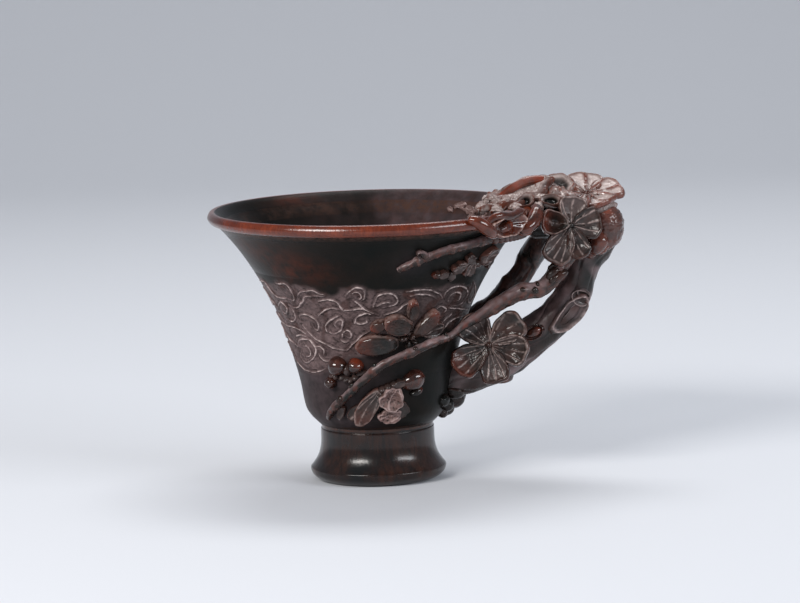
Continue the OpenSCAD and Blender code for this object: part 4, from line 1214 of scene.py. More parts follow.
# These rims carry a pale painted highlight.
dusty = wall_petals([
    (-79, 33, 10.2, 9.0, 250, dict(rise=3.2, hollow=0.5, roll=0.35, notch=0.2, veins=5, vein_h=0.3)),
    (-79.5, 26.9, 8.8, 4.8, 184, dict(rise=2.5, hollow=0.35, veins=7, warm=0.6))],
    wave=1.35, pale=0.85, pit=0.45, edge_line=0.7)
finish_piece(dusty, "relief_dusty_petals", [], dusty_horn, rounds=5, scale=0.22)
dome_bud = wall_petals([(-62.4, 38.9, 9.2, 7.8, 20, dict(rise=3.6, dome=True, wave=0.4, warm=0.8))])
finish_piece(dome_bud, "relief_glossy_petal", [], bud_horn)

# %% Spray below the twig
spray = wall_petals([
    (-59.6, 78.5, 3.6, 2.8, 200, dict(rise=2.4, dome=True, warm=1.0)),
    (-55.8, 78.4, 5.0, 3.4, 190, dict(rise=1.8, hollow=0.2, pale=0.6)),
    (-50.4, 77.2, 4.6, 3.6, 290, dict(rise=1.9, dome=True, wave=1.4, pale=0.8)),
    (-47.8, 80.7, 8.0, 4.8, 200, dict(rise=1.9, hollow=0.3, wave=1.4, veins=5, pale=0.6, pit=0.15)),
    (-40.4, 79.4, 7.2, 6.4, 265, dict(rise=1.7, hollow=0.3, wave=1.3, veins=5, pale=0.6, pit=0.15)),
    (-43, 83, 5.8, 4.2, 150, dict(rise=1.8, hollow=0.3, wave=1.2, pale=0.5)),
    (-29.5, 83, 10.4, 7.8, 15, dict(rise=2.1, hollow=0.3, veins=7, egg=0.05, pale=0.5, pit=0.1)),
    (-35.6, 80.3, 3.8, 3.0, 0, dict(rise=2.0, dome=True, pale=0.3)),
    (-22.5, 79.4, 5.0, 3.6, 300, dict(rise=1.4, hollow=0.3, wave=1.0, pale=0.4))], wave=0.4)
finish_piece(spray, "upper_spray_petals", ["upper_blossom"], petal_horn, rounds=5,
             scale=0.22)

# %% [markdown]
# The back isn't seen. It gets one blossom with five petals in relief and three
# buds, as such cups have there.

# %% Blossom and buds on the back
rear = wall_petals([
    (70, 58.4, 12.4, 9.4, 90, {}), (57, 57.0, 12.4, 9.4, 18, {}), (83, 57.0, 12.4, 9.4, 162, {}),
    (62.6, 49.6, 11.4, 8.6, -54, {}), (78.4, 49.6, 11.4, 8.6, -126, {}),
    (70.4, 54.4, 4.0, 4.0, 0, dict(rise=3.0, dome=True, warm=0.5))],
    rise=2.5, hollow=0.35, roll=0.35, veins=8, wave=0.4, egg=0.3, blunt=0.8, pale=0.5, pit=0.1)
finish_piece(rear, "rear_blossom_petals", ["rear_blossom"], petal_horn, rounds=5,
             scale=0.22)
rear_bud_parts = wall_petals([
    (104, 46.2, 6.5, 6.5, 0, dict(rise=3.5)), (94, 36.1, 5.8, 6.1, 0, dict(rise=3.2, warm=0.8)),
    (80, 37.7, 7.2, 5.2, 40, dict(rise=2.9)), (99, 43, 4.0, 3.0, 40, dict(rise=2.4)),
    (88, 39, 4.0, 3.0, 80, dict(rise=2.2))], dome=True, wave=0.2)
finish_piece(rear_bud_parts, "rear_bud_cluster", ["rear_buds"], bud_horn)

# %% [markdown]
# The trunk is the handle: it leaves the wall low down, swings out round the
# finger gap and bends back to the lip. Its line is kept as shares of the cup's
# height and of the handle's reach. What grows on it, such as its scar, is
# shaped on a skin that is wrapped round it, so that it follows every bend.

# %% Lines and skins of the branches
REACH = 36.0
TRUNK_RADIUS = 8.0
TRUNK_SPAN = 95.0
ROOT_DEPTH = 1.2
TRUNK_SHARES = [(0.16, -0.14, 0.8), (0.2, 0.09, 0.9), (0.23, 0.26, 0.95), (0.277, 0.45, 0.98),
                (0.345, 0.64, 0.92), (0.428, 0.83, 0.875), (0.513, 0.955, 0.81),
                (0.59, 0.99, 0.77), (0.66, 0.955, 0.78), (0.75, 0.92, 0.875),
                (0.84, 0.885, 1), (0.9, 0.8, 1), (0.945, 0.68, 0.95)]


def at_height(share):
    """A height between the top of the foot and the top of the lip."""
    return FOOT_HEIGHT + (LIP_TOP - FOOT_HEIGHT) * share


def smooth_radii(radii, steps):
    """Radii along a limb, smoothed as its line is."""
    return smooth(np.array(radii)[:, None], steps)[:, 0]


def walk(way, s):
    """The point at a share of a line, from 0 to 1."""
    k = np.clip(s, 0, 1) * (len(way) - 1)
    i = np.minimum(np.floor(k).astype(int), len(way) - 2)
    part = np.asarray(k - i)[..., None]
    return way[i] * (1 - part) + way[i + 1] * part


def unit(v):
    return v / np.linalg.norm(v, axis=-1)[..., None]


def trunk_axes(go):
    """Away from the cup, and towards the camera."""
    return unit(np.cross(go, (0, -1, 0))), np.array([0, -1.0, 0])


def branch_axes(go):
    """Away from the wall, and up."""
    front = unit(np.cross(go, (0, 0, 1)))
    return front, np.cross(front, go)


def limb_skin(way, width, s0, around, length, step, axes_of):
    """A skin on a limb, at a share of its length and an angle round it."""
    def skin(u, v, h):
        s = s0 + v / length
        first, second = axes_of(unit(walk(way, s + step) - walk(way, s - step)))
        r = np.interp(s, np.linspace(0, 1, len(width)), width)
        a = np.radians(around) - u / r
        out = np.cos(a)[..., None] * first + np.sin(a)[..., None] * second
        return walk(way, s) + (r + h)[..., None] * out
    return skin


trunk_line = [on_wall(0, at_height(s[0]), REACH * s[1]) for s in TRUNK_SHARES]
trunk_radii = [TRUNK_RADIUS * s[2] for s in TRUNK_SHARES]
trunk_way = smooth(trunk_line, 2)
trunk_width = smooth_radii(trunk_radii, 2)


def trunk_at(s):
    """The trunk's middle at a share of its length."""
    return walk(trunk_way, s)


def trunk_skin(s0, around):
    """A skin on the trunk: 0 is its outer side, 90 faces the front."""
    return limb_skin(trunk_way, trunk_width, s0, around, TRUNK_SPAN, 0.03, trunk_axes)


# %% What the branches share
RED_SHARE = 0.5


def redden(piece, size, seed):
    """Lets the red of the horn show in small patches along a branch."""
    paint(piece, "warm", RED_SHARE * smoothstep(ripple(read_points(piece), size, seed), 0.0, 0.6))


def keep_out_of_bowl(*pieces):
    """Holds the roots of the branches in the wall, so that none shows inside the bowl."""
    for piece in pieces:
        points = read_points(piece)
        r = np.hypot(points[:, 0], points[:, 1])
        limit = wall_radius(points[:, 2]) - ROOT_DEPTH
        push = np.where((r < limit) & (points[:, 2] < BODY_TOP - 1), limit / np.maximum(r, 1), 1)
        points[:, :2] *= push[:, None]
        place_points(piece, points)


# %% Trunk and cut stump
trunk = limb("trunk", trunk_line, [r * 0.985 for r in trunk_radii], around=110, steps=16,
             knots=[(0.30, 0.03, 0.05), (0.56, 0.035, 0.06), (0.44, 0.02, -0.03), (0.7, 0.03, -0.04)],
             bark=0.35, bark_size=7, grooves=7, seed=11)
STUMP_STEPS = [(0, 0, 0), (-0.6, 1, -4.7), (-0.9, 1.5, -7.4), (-1, 1.7, -8.3)]
stump = limb("stump", [trunk_at(0.25) + step for step in STUMP_STEPS], [5.8, 5.6, 5.2, 3.6],
             around=40, bark=0.3, bark_size=3)
keep_out_of_bowl(trunk, stump)
# The trunk's tops are paler: painted light, with dust.
finish_piece([trunk], "trunk_limb", ["trunk"], branch_horn, rounds=14, scale=0.5,
             lit_top_and_dust=0.6, mottled=0.55)
finish_piece([stump], "trunk_cut_stump", ["trunk_stump"], branch_horn)

# %% [markdown]
# Where a side branch broke off, the bark has grown round the wound: a long scar on the side of the
# trunk with a lid and a fold above it, and an eye lower down. Each is a dish with a high rolled rim.
# The scar's hollow is darkened with painted shade, and the rims of the scar, lid and fold carry a pale
# line that is a painted highlight.

# %% Scar and eye
scar = petal("scar", trunk_skin(0.50, 66), 17.0, 7.8, 84, rise=0.9, hollow=1.2, rim=0.84, roll=1.4,
             egg=0.1, wave=0.5, floor_h=-1.2, around=96, along=64, pit=0.15, warm=0.3, shade=0.6,
             edge_line=1.0)
scar_heart = petal("scar_heart", trunk_skin(0.49, 64), 9.4, 3.4, 84, rise=0.8, dome=True, wave=0.6,
                   warm=0.4)
scar_lid = petal("scar_lid", trunk_skin(0.567, 70), 7.2, 7.0, 86, rise=1.0, hollow=0.8, rim=0.84,
                 roll=0.9, egg=0.0, floor_h=-1, along=50, pit=0.1, edge_line=1.0)
scar_fold = petal("scar_fold", trunk_skin(0.585, 66), 4.4, 5.4, 86, rise=0.8, hollow=0.7, rim=0.82,
                  roll=0.8, egg=0.0, floor_h=-1, edge_line=1.0)
# The scar's tops are paler: painted light, with dust.
finish_piece([scar, scar_heart, scar_lid, scar_fold], "trunk_scar_ring", ["trunk_scar"],
             branch_horn, rounds=6, scale=0.3, lit_top_and_dust=0.35, mottled=0.3)
eye = petal("eye", trunk_skin(0.375, 104), 7.0, 5.4, 70, rise=0.6, hollow=0.9, rim=0.84, roll=0.5,
            egg=0.1, floor_h=-1, along=44)
eye_heart = petal("eye_heart", trunk_skin(0.378, 104), 4.6, 3.4, 70, rise=1.7, dome=True, warm=0.6)
finish_piece([eye, eye_heart], "trunk_eye_knot", ["trunk_eye"], bud_horn)

# %% Bark folds below the crown
nub = petal("nub", trunk_skin(0.91, 62), 22, 10.6, 92, rise=3.4, dome=True, wave=0.9, floor_h=-1.5,
            around=96, along=60, warm=0.6, pit=0.25, pale=0.5)
nub_low = petal("nub_low", trunk_skin(0.81, 74), 8, 6.4, 96, rise=2.2, dome=True, wave=0.8,
                floor_h=-1.5, pit=0.2)
nub_mid = petal("nub_mid", trunk_skin(0.86, 90), 12, 6.0, 80, rise=2.3, dome=True, wave=1.0,
                floor_h=-1.5, warm=0.7, pit=0.2)
nub_knob = petal("nub_knob", trunk_skin(0.775, 92), 6.0, 5.6, 90, rise=2.2, dome=True, floor_h=-1.0,
                 wave=0.5)
nub_edge = petal("nub_edge", trunk_skin(0.9, 28), 15, 7.0, 96, rise=1.4, dome=True, floor_h=-1.0,
                 wave=1.2, pit=0.3)
finish_piece([nub, nub_low, nub_mid, nub_knob, nub_edge], "trunk_bark_fold",
             ["trunk_bark"], lip_petal_horn, rounds=10, scale=0.3)

# %% [markdown]
# The front branch springs from the wall low at the left, runs up it undercut,
# and climbs past the trunk to the crown. Its rows are the angle, the share of
# the height, the share of the reach off the wall, and the thickness. The rear
# branch is built in the same way, and ends in the bridge from trunk to lip.

# %% Front branch
FRONT_RADIUS, FRONT_END = 3.2, 3.5
FRONT_BRANCH = [(-134.4, 0.056, 0, 0.3), (-126, 0.095, 0.05, 0.42), (-118.4, 0.132, 0.083, 0.44),
                (-106.3, 0.201, 0.095, 0.47), (-95.5, 0.268, 0.105, 0.48),
                (-87, 0.319, 0.11, 0.48), (-75.9, 0.358, 0.11, 0.48), (-66, 0.383, 0.11, 0.5),
                (-55.8, 0.412, 0.11, 0.5), (-47.4, 0.424, 0.105, 0.46), (-41.3, 0.436, 0.115, 0.43),
                (-34.4, 0.480, 0.165, 0.50), (-27.1, 0.527, 0.255, 0.68), (-22, 0.572, 0.356, 0.86),
                (-19.4, 0.596, 0.422, 0.9), (-17.6, 0.616, 0.498, 0.92), (-15.4, 0.62, 0.625, 0.88),
                (-13.5, 0.646, 0.684, 0.95), (-12.1, 0.69, 0.709, 1), (-10.1, 0.733, 0.702, 1)]
front_line = [on_wall(s[0], at_height(s[1]), REACH * s[2]) for s in FRONT_BRANCH]
front_line.append(trunk_at(0.87) + TRUNK_RADIUS * np.array((-0.5, -0.45, 0)))
front_radii = [FRONT_RADIUS * s[3] for s in FRONT_BRANCH] + [FRONT_END]
front_branch = limb("front_branch", front_line, front_radii, around=32, steps=10,
                    knots=[(0.1, 0.012, 0.25), (0.23, 0.012, 0.18), (0.335, 0.012, 0.2),
                           (0.47, 0.012, 0.25), (0.62, 0.012, 0.15), (0.745, 0.015, 0.16),
                           (0.8, 0.015, 0.14), (0.9, 0.02, 0.12)],
                    bark=0.16, bark_size=2.2, grooves=4, seed=21, hug=pressed)
redden(front_branch, 3.0, 22)
keep_out_of_bowl(front_branch)
# The branch's top is paler: painted light, with dust.
finish_piece([front_branch], "front_branch_limb", ["front_branch"], branch_horn,
             rounds=8, scale=0.25, lit_top_and_dust=1.0)

# %% Rear branch and bridge
REAR_RADIUS = 4.6
REAR_BRANCH = [(128, 0.1, 0, 0.26), (118, 0.15, 0.07, 0.33), (104, 0.22, 0.085, 0.36),
               (90, 0.28, 0.1, 0.38), (75, 0.325, 0.11, 0.4), (60, 0.36, 0.12, 0.42),
               (47, 0.39, 0.14, 0.48), (36, 0.42, 0.2, 0.6), (28, 0.46, 0.29, 0.7),
               (22, 0.51, 0.36, 0.76), (18, 0.575, 0.41, 0.84), (15.5, 0.65, 0.46, 0.92),
               (13.5, 0.74, 0.445, 1)]
bridge_line = [trunk_at(1) + TRUNK_RADIUS * np.array((0.1, 0, -0.5)),
               trunk_at(1) + TRUNK_RADIUS * np.array((-0.8, 0, -0.4)),
               on_wall(0, at_height(0.905), REACH * 0.3), on_wall(0, at_height(0.9), 3.6)]
rear_line = [on_wall(s[0], at_height(s[1]), REACH * s[2]) for s in REAR_BRANCH]
rear_line.append(bridge_line[2] * 0.8 + bridge_line[1] * 0.2)
rear_radii = [REAR_RADIUS * s[3] for s in REAR_BRANCH] + [REAR_RADIUS]
rear_branch = limb("rear_branch", rear_line, rear_radii, around=32, steps=10,
                   knots=[(0.2, 0.012, 0.2), (0.42, 0.012, 0.2), (0.62, 0.02, 0.15),
                          (0.78, 0.02, 0.12)],
                   bark=0.25, bark_size=3, grooves=5, seed=31, hug=pressed)
keep_out_of_bowl(rear_branch)
# The rear branch is a little paler on top: painted light, with dust.
finish_piece([rear_branch], "rear_branch_limb", ["rear_branch"], branch_horn,
             lit_top_and_dust=0.3, mottled=0.12)

bridge = limb("bridge", bridge_line, [5.3, 5.9, 5.9, 5.6], around=48, steps=12, bark=0.6, bark_size=5,
              seed=41)
keep_out_of_bowl(bridge)
# The bridge is slightly paler on top: painted light, with dust.
finish_piece([bridge], "crown_bridge_limb", ["crown_bridge"], branch_horn, scale=0.4,
             lit_top_and_dust=0.1)

# %% [markdown]
# Where the branch forks, leaf sheaths and small knots sit on it. A bud could be
# placed by three coordinates, but then it would float when the branch moves, so
# each is given by its place along the branch and its angle round it.

# %% Buds, knots and roots
branch_way = smooth(front_line, 10)
branch_width = smooth_radii(front_radii, 10)
branch_span = np.linalg.norm(np.diff(branch_way, axis=0), axis=1).sum()


def branch_skin(s0, around):
    """A skin on the front branch: 0 faces away from the wall, 90 is its top."""
    return limb_skin(branch_way, branch_width, s0, around, branch_span, 0.01, branch_axes)


sheaths = [petal("sheath", branch_skin(s, around), length, width, 90, rise=rise,
                 dome=True, wave=0.4, floor_h=-0.6)
           for s, around, length, width, rise in [
               (0.885, 42, 8.0, 3.0, 1.6), (0.9, -6, 8.6, 3.2, 1.6), (0.915, 80, 7.0, 2.8, 1.4),
               (0.87, 12, 5.0, 2.4, 1.2)]]
finish_piece(sheaths, "branch_sheath_buds", ["branch_buds"], petal_horn)
knots = [petal("knot", branch_skin(s, around), size, size * 0.85, 90, rise=rise,
               dome=True, floor_h=-0.4, around=32, along=20)
         for s, around, size, rise in [
             (0.745, 20, 2.4, 0.9), (0.785, 10, 2.6, 1.1), (0.8, 50, 2.4, 1.0), (0.46, 60, 2.0, 0.9),
             (0.35, 40, 1.8, 0.8), (0.24, 70, 2.0, 0.8), (0.12, 20, 2.4, 0.9), (0.16, 60, 2.0, 0.9)]]
finish_piece(knots, "branch_small_knots", ["branch_knots"], petal_horn)

ROOT_KNOBS = [(21, 0.055, 0.95, 0.6), (18, 0.105, 1.1, 1), (25, 0.165, 1, 0.8), (-24, 0.11, 0.6, 0.3),
              (8, 0.055, 0.75, 0.5), (2, 0.1, 0.8, 0.75), (-8, 0.14, 0.8, 0.7), (-16, 0.085, 0.6, 0.4),
              (-2, 0.035, 0.5, 0.3), (31, 0.1, 0.7, 0.5)]
roots = [petal("root", wall_skin(angle, at_height(share)), TRUNK_RADIUS * size, TRUNK_RADIUS * size,
               0, rise=TRUNK_RADIUS * rise, dome=True, wave=0.6, around=48)
         for angle, share, size, rise in ROOT_KNOBS]
keep_out_of_bowl(*roots)
finish_piece(roots, "root_knob_cluster", ["root_knobs"], branch_horn)

# %% Twig below the lip
TWIG_RADIUS = 1.5
TWIG = [(-78.5, 0.775, 0.55), (-77, 0.785, 0.8), (-72, 0.81, 0.9), (-66.5, 0.832, 1),
        (-60, 0.855, 1.05), (-53.3, 0.868, 1.1), (-46, 0.88, 1.15), (-38, 0.89, 1.2),
        (-29, 0.9, 1.3)]
twig = limb("twig", [on_wall(s[0], at_height(s[1]), TWIG_RADIUS * s[2] * 0.8) for s in TWIG],
            [TWIG_RADIUS * s[2] for s in TWIG], around=26, steps=10,
            knots=[(0.28, 0.02, 0.4), (0.03, 0.02, 0.35), (0.55, 0.015, 0.2), (0.78, 0.02, 0.2)],
            bark=0.17, bark_size=1.6, seed=51, hug=pressed)
redden(twig, 2.2, 52)
spur = limb("spur", [on_wall(-67.2, 84.6, 1.0), on_wall(-68.6, 86.2, 1.3), on_wall(-70.5, 87.4, 1.1)],
            [1.2, 1.3, 0.9], around=20, steps=5, bark=0.1, bark_size=1)
spur_end = petal("spur_end", wall_skin(-70.6, 87.3), 3.4, 2.8, 120, rise=2.0, hollow=0.6, floor_h=0.2)
keep_out_of_bowl(twig)
# The twig's top is paler: painted light, with dust.
finish_piece([twig, spur, spur_end], "upper_twig_limb", ["upper_twig"], branch_horn,
             rounds=5, scale=0.18, lit_top_and_dust=1.0)

# %% [markdown]
# An open blossom: five cupped petals that overlap like a spiral, a small boss
# and a fan of stamens. One petal could be copied five times round, but the
# carver's differ, so each has a row with its angle, length, width and what sets
# it apart. The stamens vary by a seeded draw, so every run makes the same ones.

# %% Open blossoms
STAMENS = 11
STAMEN_REACH = (3.6, 5.4)


def open_blossom(place, out, petals, seed, up=(0, 0, 1), **every):
    """The parts of a blossom that faces the way out, from rows of petals."""
    skin = flat_skin(place, out, up)
    chance = np.random.default_rng(seed)
    parts = []
    for k, (angle, length, width, more) in enumerate(petals):
        a = math.radians(angle)
        shape = dict(rise=1.3, hollow=0.8, rim=0.88, roll=0.4, egg=0.34, blunt=0.72, veins=11,
                     vein_h=0.22, wave=0.45, floor_h=-1.2, curl=1.4, tilt=0.4, seed=k + seed,
                     around=120, along=72, pale=0.3, pit=0.08)
        shape = {**shape, **every, **more}
        middle = (math.cos(a) * length * 0.52, math.sin(a) * length * 0.52)
        parts.append(petal("petal", skin, length, width, angle, at=middle, **shape))
    parts.append(petal("boss", skin, 2.6, 2.6, 0, rise=1.9, dome=True, floor_h=-1.0, around=32,
                       along=20))
    for k in range(STAMENS):
        a = 2 * math.pi * (k + chance.uniform(-0.25, 0.25)) / STAMENS
        reach = chance.uniform(*STAMEN_REACH)
        line = [skin(np.float64(d * math.cos(a)), np.float64(d * math.sin(a)), np.float64(h))
                for d, h in ((0.8, 1.1), (2.0, 1.15), (reach * 0.75, 1.05), (reach, 1.35))]
        parts.append(limb("stamen", line, [0.17, 0.14, 0.13, 0.16], around=8, steps=3))
        parts.append(petal("anther", flat_skin(line[-1], out, up), 0.75, 0.6, math.degrees(a), rise=0.4,
                           dome=True, floor_h=-0.3, around=12, along=8))
    return parts


# %% Low blossom
# Three petals carry a pale painted highlight along their rims.
low_blossom = open_blossom((40.8, -17.6, 49.6), (-0.1, -0.97, 0.2), [
    (-78, 14, 11.4, dict(curl=0.3, rise=1.0, base_lift=-0.2, pale=0.6)),
    (39, 15.0, 12.0, dict(curl=1.3, hollow=1.0, veins=6, pale=0.12, edge_line=0.5)),
    (-12, 14.2, 12.0, dict(curl=1.5, tilt=0.5, roll=0.5, pale=0.12, edge_line=0.7)),
    (129, 12.8, 13.0, dict(curl=4.0, tilt=0.2, roll=0.6, edge_line=0.6)),
    (-145, 14.8, 12.4, dict(curl=2.0, tilt=0.6, hollow=0.9, warm=0.7, roll=0.5))], seed=61)
finish_piece(low_blossom, "low_blossom_petals", ["low_blossom"], petal_horn, rounds=6,
             scale=0.2)

# %% Front blossom
# Three petals carry a pale painted highlight along their rims.
front_blossom = open_blossom((70.9, -15.2, 91.4), (0.1, -0.95, 0.25), [
    (-74, 12.4, 9.0, dict(curl=0.7, veins=8, pale=0.25)),
    (5, 10.9, 12.2, dict(curl=0.8, pale=0.5, veins=9)),
    (80, 10.5, 11.4, dict(curl=0.5, pale=1.0, veins=7, edge_line=0.9)),
    (-120, 15.2, 11.6, dict(curl=1.0, tilt=0.3, veins=12, pale=0.55, edge_line=0.4)),
    (170, 10.9, 10.0, dict(curl=3.2, hollow=1.2, rise=2.2, tilt=0.6, warm=1.0, roll=0.9, veins=4,
                           pale=0.1, edge_line=0.6))], seed=71)
finish_piece(front_blossom, "front_blossom_petals", ["front_blossom"], petal_horn,
             rounds=6, scale=0.2)

# %% Top blossom
TOP_TILT = math.radians(21)
top_place = trunk_at(1) + TRUNK_RADIUS * np.array((-0.36, 0, 0.80))
top_blossom = open_blossom(top_place, (0, -math.sin(TOP_TILT), math.cos(TOP_TILT)), [
    (24, 13.6, 14.6, dict(curl=0.3, warm=0.7)),
    (92, 14.2, 15.4, dict(curl=0.9)),
    (160, 14.6, 14.6, dict(curl=0.9)),
    (234, 12.6, 13.4, {}),
    (306, 11.6, 12.8, dict(warm=0.3))], seed=81, up=(0, 1, 0), rise=1.1, veins=6, vein_h=0.6, sharp=8,
    pale=1.0, pit=0.14, roll=0.4)
finish_piece(top_blossom, "top_blossom_petals", ["top_blossom"], crown_horn, rounds=16,
             scale=0.28)

# %% [markdown]
# The crown: a gnarled mass over the bridge and the lip, with a thick leaf that
# rises behind, and small leaves, arches and lumps in front. The mass could be
# sculpted with a brush, but a script has no hand. It is a dome
# whose points rise in lumps of two sizes, with holes drilled down into it.

# %% Crown mass
CROWN_HOLES = [(46.2, -7.4, 1.1), (50.5, 2.5, 1.3), (58.5, 6.6, 1.2), (43.6, 1.5, 1.0),
               (66.0, -3.0, 1.2), (70.0, 3.0, 1.0)]
HOLE_DEPTH, HOLE_RIM = 3.0, 0.8
CROWN_SEAT = 99.2
SHELF_DEPTH = 2.8
mass = petal("mass", flat_skin((57, 0, 98.6), (0, 0, 1), (0, 1, 0)), 35, 19.5, 0, rise=5.4, dome=True,
             wave=1.0, egg=0.0, floor_h=0.1, around=170, along=120, seed=3, pale=0.45)
points = read_points(mass)
x, y, z = points.T
lumps = 1.2 * ripple(points, 6, 91) + 0.9 * ripple(points, 2.4, 92)
hole_shade = np.zeros(len(points))
for hole_x, hole_y, hole_size in CROWN_HOLES:
    away = np.hypot(x - hole_x, y - hole_y) / hole_size
    lumps = lumps + HOLE_RIM * np.exp(-((away - 1.7) / 0.5) ** 2) - HOLE_DEPTH * np.exp(-away ** 2)
    hole_shade = np.maximum(hole_shade, np.exp(-(away / 0.9) ** 4))
raised = z > CROWN_SEAT
shelf = SHELF_DEPTH * smoothstep(-y, -1.5, 3.0) * smoothstep(x, 44, 49) * (1 - smoothstep(x, 63, 66))
rise = np.where(raised, np.maximum(lumps - shelf, CROWN_SEAT - 0.3 - z), 0)
place_points(mass, np.stack([x, y, z + rise], -1))
# Painted shade inside the drilled holes.
paint(mass, "shade", np.where(raised, hole_shade, 0))
finish_piece([mass], "crown_mass", ["crown"], crown_horn, rounds=10, scale=0.3,
             mottled=1.0)

# %% Crown leaves, curls and lumps
CROWN_LUMPS = [(39.6, -13.0, 98.0, 4.6, 40), (44.6, -13.2, 98.0, 6.4, -16),
               (47.6, -12.6, 99.8, 4.8, 34), (44.4, -11.6, 100.6, 5.6, -40),
               (51.2, -13.0, 98.2, 5.4, 12), (41.2, -11.6, 99.9, 3.2, 60),
               (59.4, -12.6, 98.2, 4.4, 10), (68.4, -9.0, 100.2, 3.4, -20)]
LEAF_RIDGE = [(43.6, -1.4, 99.2), (47.6, -1.0, 101.8), (52.4, -0.4, 104.6), (58, 0.0, 106.4),
              (62.6, 0.2, 106.6)]
leaf_ridge = limb("leaf_ridge", LEAF_RIDGE, [0.9, 1.3, 1.6, 1.7, 1.4], around=36, steps=8,
                  bark=0.16, bark_size=4)
paint(leaf_ridge, "warm", np.full(len(leaf_ridge.data.vertices), 0.85))
# The arches' hollows are painted shade, so they read as holes.
arch = dict(rise=1.8, hollow=1.3, rim=0.82, roll=0.5, wave=0.6, floor_h=-2.0, around=72, along=48,
            pale=0.5, shade=1.0)
leaves = [
    petal("leaf", flat_skin((54.5, 0.2, 102.6), (-0.15, -0.8, 0.55)), 23.0, 9.4, 22, rise=2.2,
          hollow=0.4, rim=0.8, egg=0.15, wave=1.4, floor_h=-2.0, around=110, along=60, pale=0.75,
          pit=0.45),
    leaf_ridge,
    # This leaf's hollow is painted shade, a dark recess behind its rim.
    petal("leaf", flat_skin((67.6, 5.0, 103.3), (0, -0.8, 0.6)), 13, 10.4, -4, rise=2.0, hollow=1.1,
          rim=0.8, egg=0.0, wave=0.7, floor_h=-2.0, around=90, along=50, pale=0.9, pit=0.2,
          shade=0.9, roll=0.4),
    petal("leaf", flat_skin((58.6, -8.2, 100.6), (0, -0.6, 0.8)), 12, 3.8, -6, rise=1.6, hollow=0.5,
          rim=0.76, egg=0.0, wave=0.9, floor_h=-1.0, pale=0.4, pit=0.15, roll=0.3),
    petal("cap", flat_skin((83.8, -3.4, 96.0), (0.25, -0.65, 0.7)), 10, 6.4, 12, rise=2.2,
          dome=True, wave=1.0, floor_h=-1.5, pale=0.9, pit=0.3),
    petal("leaf", flat_skin((49.5, -10.4, 99.4), (0.1, -0.35, 0.94)), 14, 7.4, 8, rise=2.4,
          hollow=0.4, rim=0.76, wave=1.6, floor_h=-1.0, around=80, along=50, pale=0.5, pit=0.35),
    petal("leaf", flat_skin((41.5, -12.5, 98.6), (0, -0.35, 0.9)), 9, 5, 20, rise=1.9, hollow=0.3,
          wave=1.5, floor_h=-1.0, pale=0.6, pit=0.3),
    petal("arch", flat_skin((54.8, -11.6, 99.8), (0.05, -0.86, 0.5)), 8.0, 5.4, 24, **arch),
    petal("arch", flat_skin((64.2, -10.8, 99.8), (-0.05, -0.86, 0.5)), 9.4, 4.8, -6, **arch)]
for seed, (x, y, z, size, turn) in enumerate(CROWN_LUMPS, 5):
    leaves.append(petal("lump", flat_skin((x, y, z), (0, -0.75, 0.66)), size, size * 0.74, turn,
                        rise=2.0, dome=True, wave=2.6, floor_h=-1.6, around=48, along=32, seed=seed,
                        pale=0.7, pit=0.6))
finish_piece(leaves, "crown_leaf_curls", ["crown_leaves"], crown_horn, rounds=9,
             scale=0.26, mottled=1.0)

# %% Round bud beside the crown
bud = petal("bud", trunk_skin(0.815, 84), 10.6, 5.6, 90, rise=4.6, dome=True, floor_h=-0.8, warm=0.3,
            wave=0.3, pale=0.3)
finish_piece([bud], "crown_round_bud", ["crown_bud"], lip_petal_horn)

# %% [markdown]
# Below the crown, petals curl over the lip: a cup with a drop in it, rolled
# edges round it, and a frill of dusty beads along its foot. Curls are limbs, since
# a rolled edge is as round as a twig, and each is placed on an upright skin at
# the rim, by its angle and height and how far it stands out.

# %% Petals curled over the lip
FRILLS = 9
FRILL_RADIUS = 55.2


def rim_line(rows):
    """Points at the rim, from rows of angle, height and distance outwards."""
    return [rim_skin(angle, z)(0, 0, off) for angle, z, off in rows]


rim_parts = [
    limb("curl", rim_line([(-54.5, 98.4, -0.4), (-52.5, 97.6, 1.6), (-49.4, 95.2, 2.5),
                           (-46.4, 92.9, 2.2), (-44.2, 91.6, 1.2)]), [1.3, 2.1, 2.4, 2.0, 1.0],
         around=40, steps=8, bark=0.12, bark_size=4),
    limb("roll", rim_line([(-47.4, 96.6, 0.9), (-44.0, 98.7, 2.4), (-38, 98.1, 3.3),
                           (-32, 98.9, 3.1), (-27.8, 97.6, 2.2)]), [0.9, 1.45, 1.5, 1.5, 1.0],
         around=36, steps=8, bark=0.10, bark_size=4),
    # The cup's rim carries a pale painted highlight, and its hollow some painted shade.
    petal("cup", rim_skin(-37.4, 94.9), 20.0, 8.8, 5, rise=3.2, hollow=0.85, rim=0.86, roll=0.5,
          egg=0.0, wave=0.9, floor_h=-2.0, around=120, along=64, pit=0.12, edge_line=1.0, shade=0.25),
    petal("drop", rim_skin(-38.6, 93.9), 9.6, 5.0, 14, rise=2.9, dome=True, floor_h=-1.6, warm=1.0,
          pit=0.1),
    limb("curl", rim_line([(-28.5, 91.6, 0.6), (-26.4, 92.4, 2.4), (-23.4, 94.4, 3.4),
                           (-20.2, 97, 3.4), (-17.6, 99, 2.2)]), [1.3, 2.2, 2.6, 2.4, 1.5],
         around=40, steps=8, bark=0.12, bark_size=4),
    petal("lobe", rim_skin(-22.5, 92.2), 9.0, 5.0, 30, rise=2.4, hollow=0.4, rim=0.8, wave=0.8,
          floor_h=-1.8, warm=0.5)]
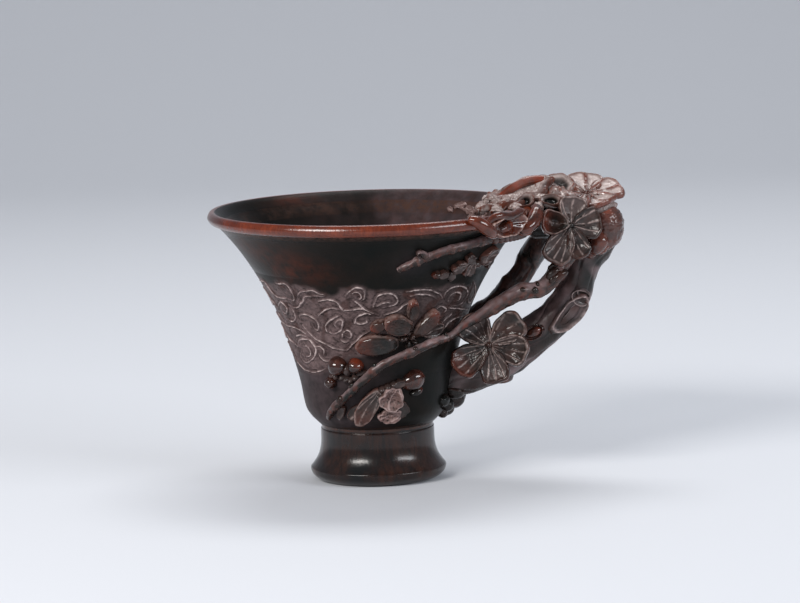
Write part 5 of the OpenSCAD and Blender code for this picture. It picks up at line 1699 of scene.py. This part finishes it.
for k in range(FRILLS):
    along = k / (FRILLS - 1)
    rim_parts.append(petal("frill", rim_skin(-38 + 27 * along, 89.6 - 1.0 * along, FRILL_RADIUS),
                           3.6, 2.3, -84 + 14 * along, rise=1.5, dome=True, floor_h=-1.6, around=28,
                           along=18, pale=1.0))
finish_piece(rim_parts, "rim_curled_petals", ["rim_petals"], lip_petal_horn, rounds=8,
             scale=0.35)

# %% [markdown]
# Inside the mouth a small sprig in relief follows the wall. Its skin is the
# inside of the bowl and of the lip, read from the profiles that made them.

# %% Sprig inside the mouth
OUT, UP = 0.8, 0.6
lip_inner = [p for p in lip_profile[::-1] if lip_share(p[0]) < CREST_SHARE and p[1] > BODY_TOP + 1.2]
inner_r, inner_z = np.array(inner[::-1] + lip_inner).T


def mouth_skin(angle, z0):
    """A skin on the inside of the bowl: u goes clockwise, h towards the middle."""
    def skin(u, v, h):
        z = z0 + v * 0.75
        inside = np.interp(z, inner_z, inner_r)
        r = inside - h * OUT
        a = math.radians(angle) - u / inside
        return np.stack([r * np.cos(a), r * np.sin(a), z + h * UP], -1)
    return skin


stem = limb("stem", [mouth_skin(angle, z)(0, 0, 0.2) for angle, z in [
    (52, 93.6), (47, 92.2), (42, 91.9), (36, 92.6), (30, 93.6), (24, 95.2), (19, 96.8)]],
    [0.4, 0.6, 0.7, 0.75, 0.85, 0.95, 1.0], around=20, steps=6, bark=0.12, bark_size=2)
paint(stem, "pale", np.full(len(stem.data.vertices), 0.6))
sprig = [stem] + [
    petal("sprig", mouth_skin(angle, z), length, width, turn, rise=0.8, hollow=0.3, wave=1.2,
          floor_h=-0.5, veins=3, pale=0.7, pit=0.2)
    for angle, z, length, width, turn in [
        (44, 92.2, 6.5, 3.6, -20), (50.5, 93.4, 5.8, 3.2, 15), (37.5, 92.8, 7.0, 3.8, 10),
        (41, 90.2, 4, 2.6, 60), (33.5, 91.2, 5.0, 3.2, -50), (30.5, 95.6, 4.6, 3.0, 40),
        (54.5, 92.0, 3.6, 2.2, -35)]]
finish_piece(sprig, "mouth_sprig_leaves", ["mouth_sprig"], dusty_horn, scale=0.2)
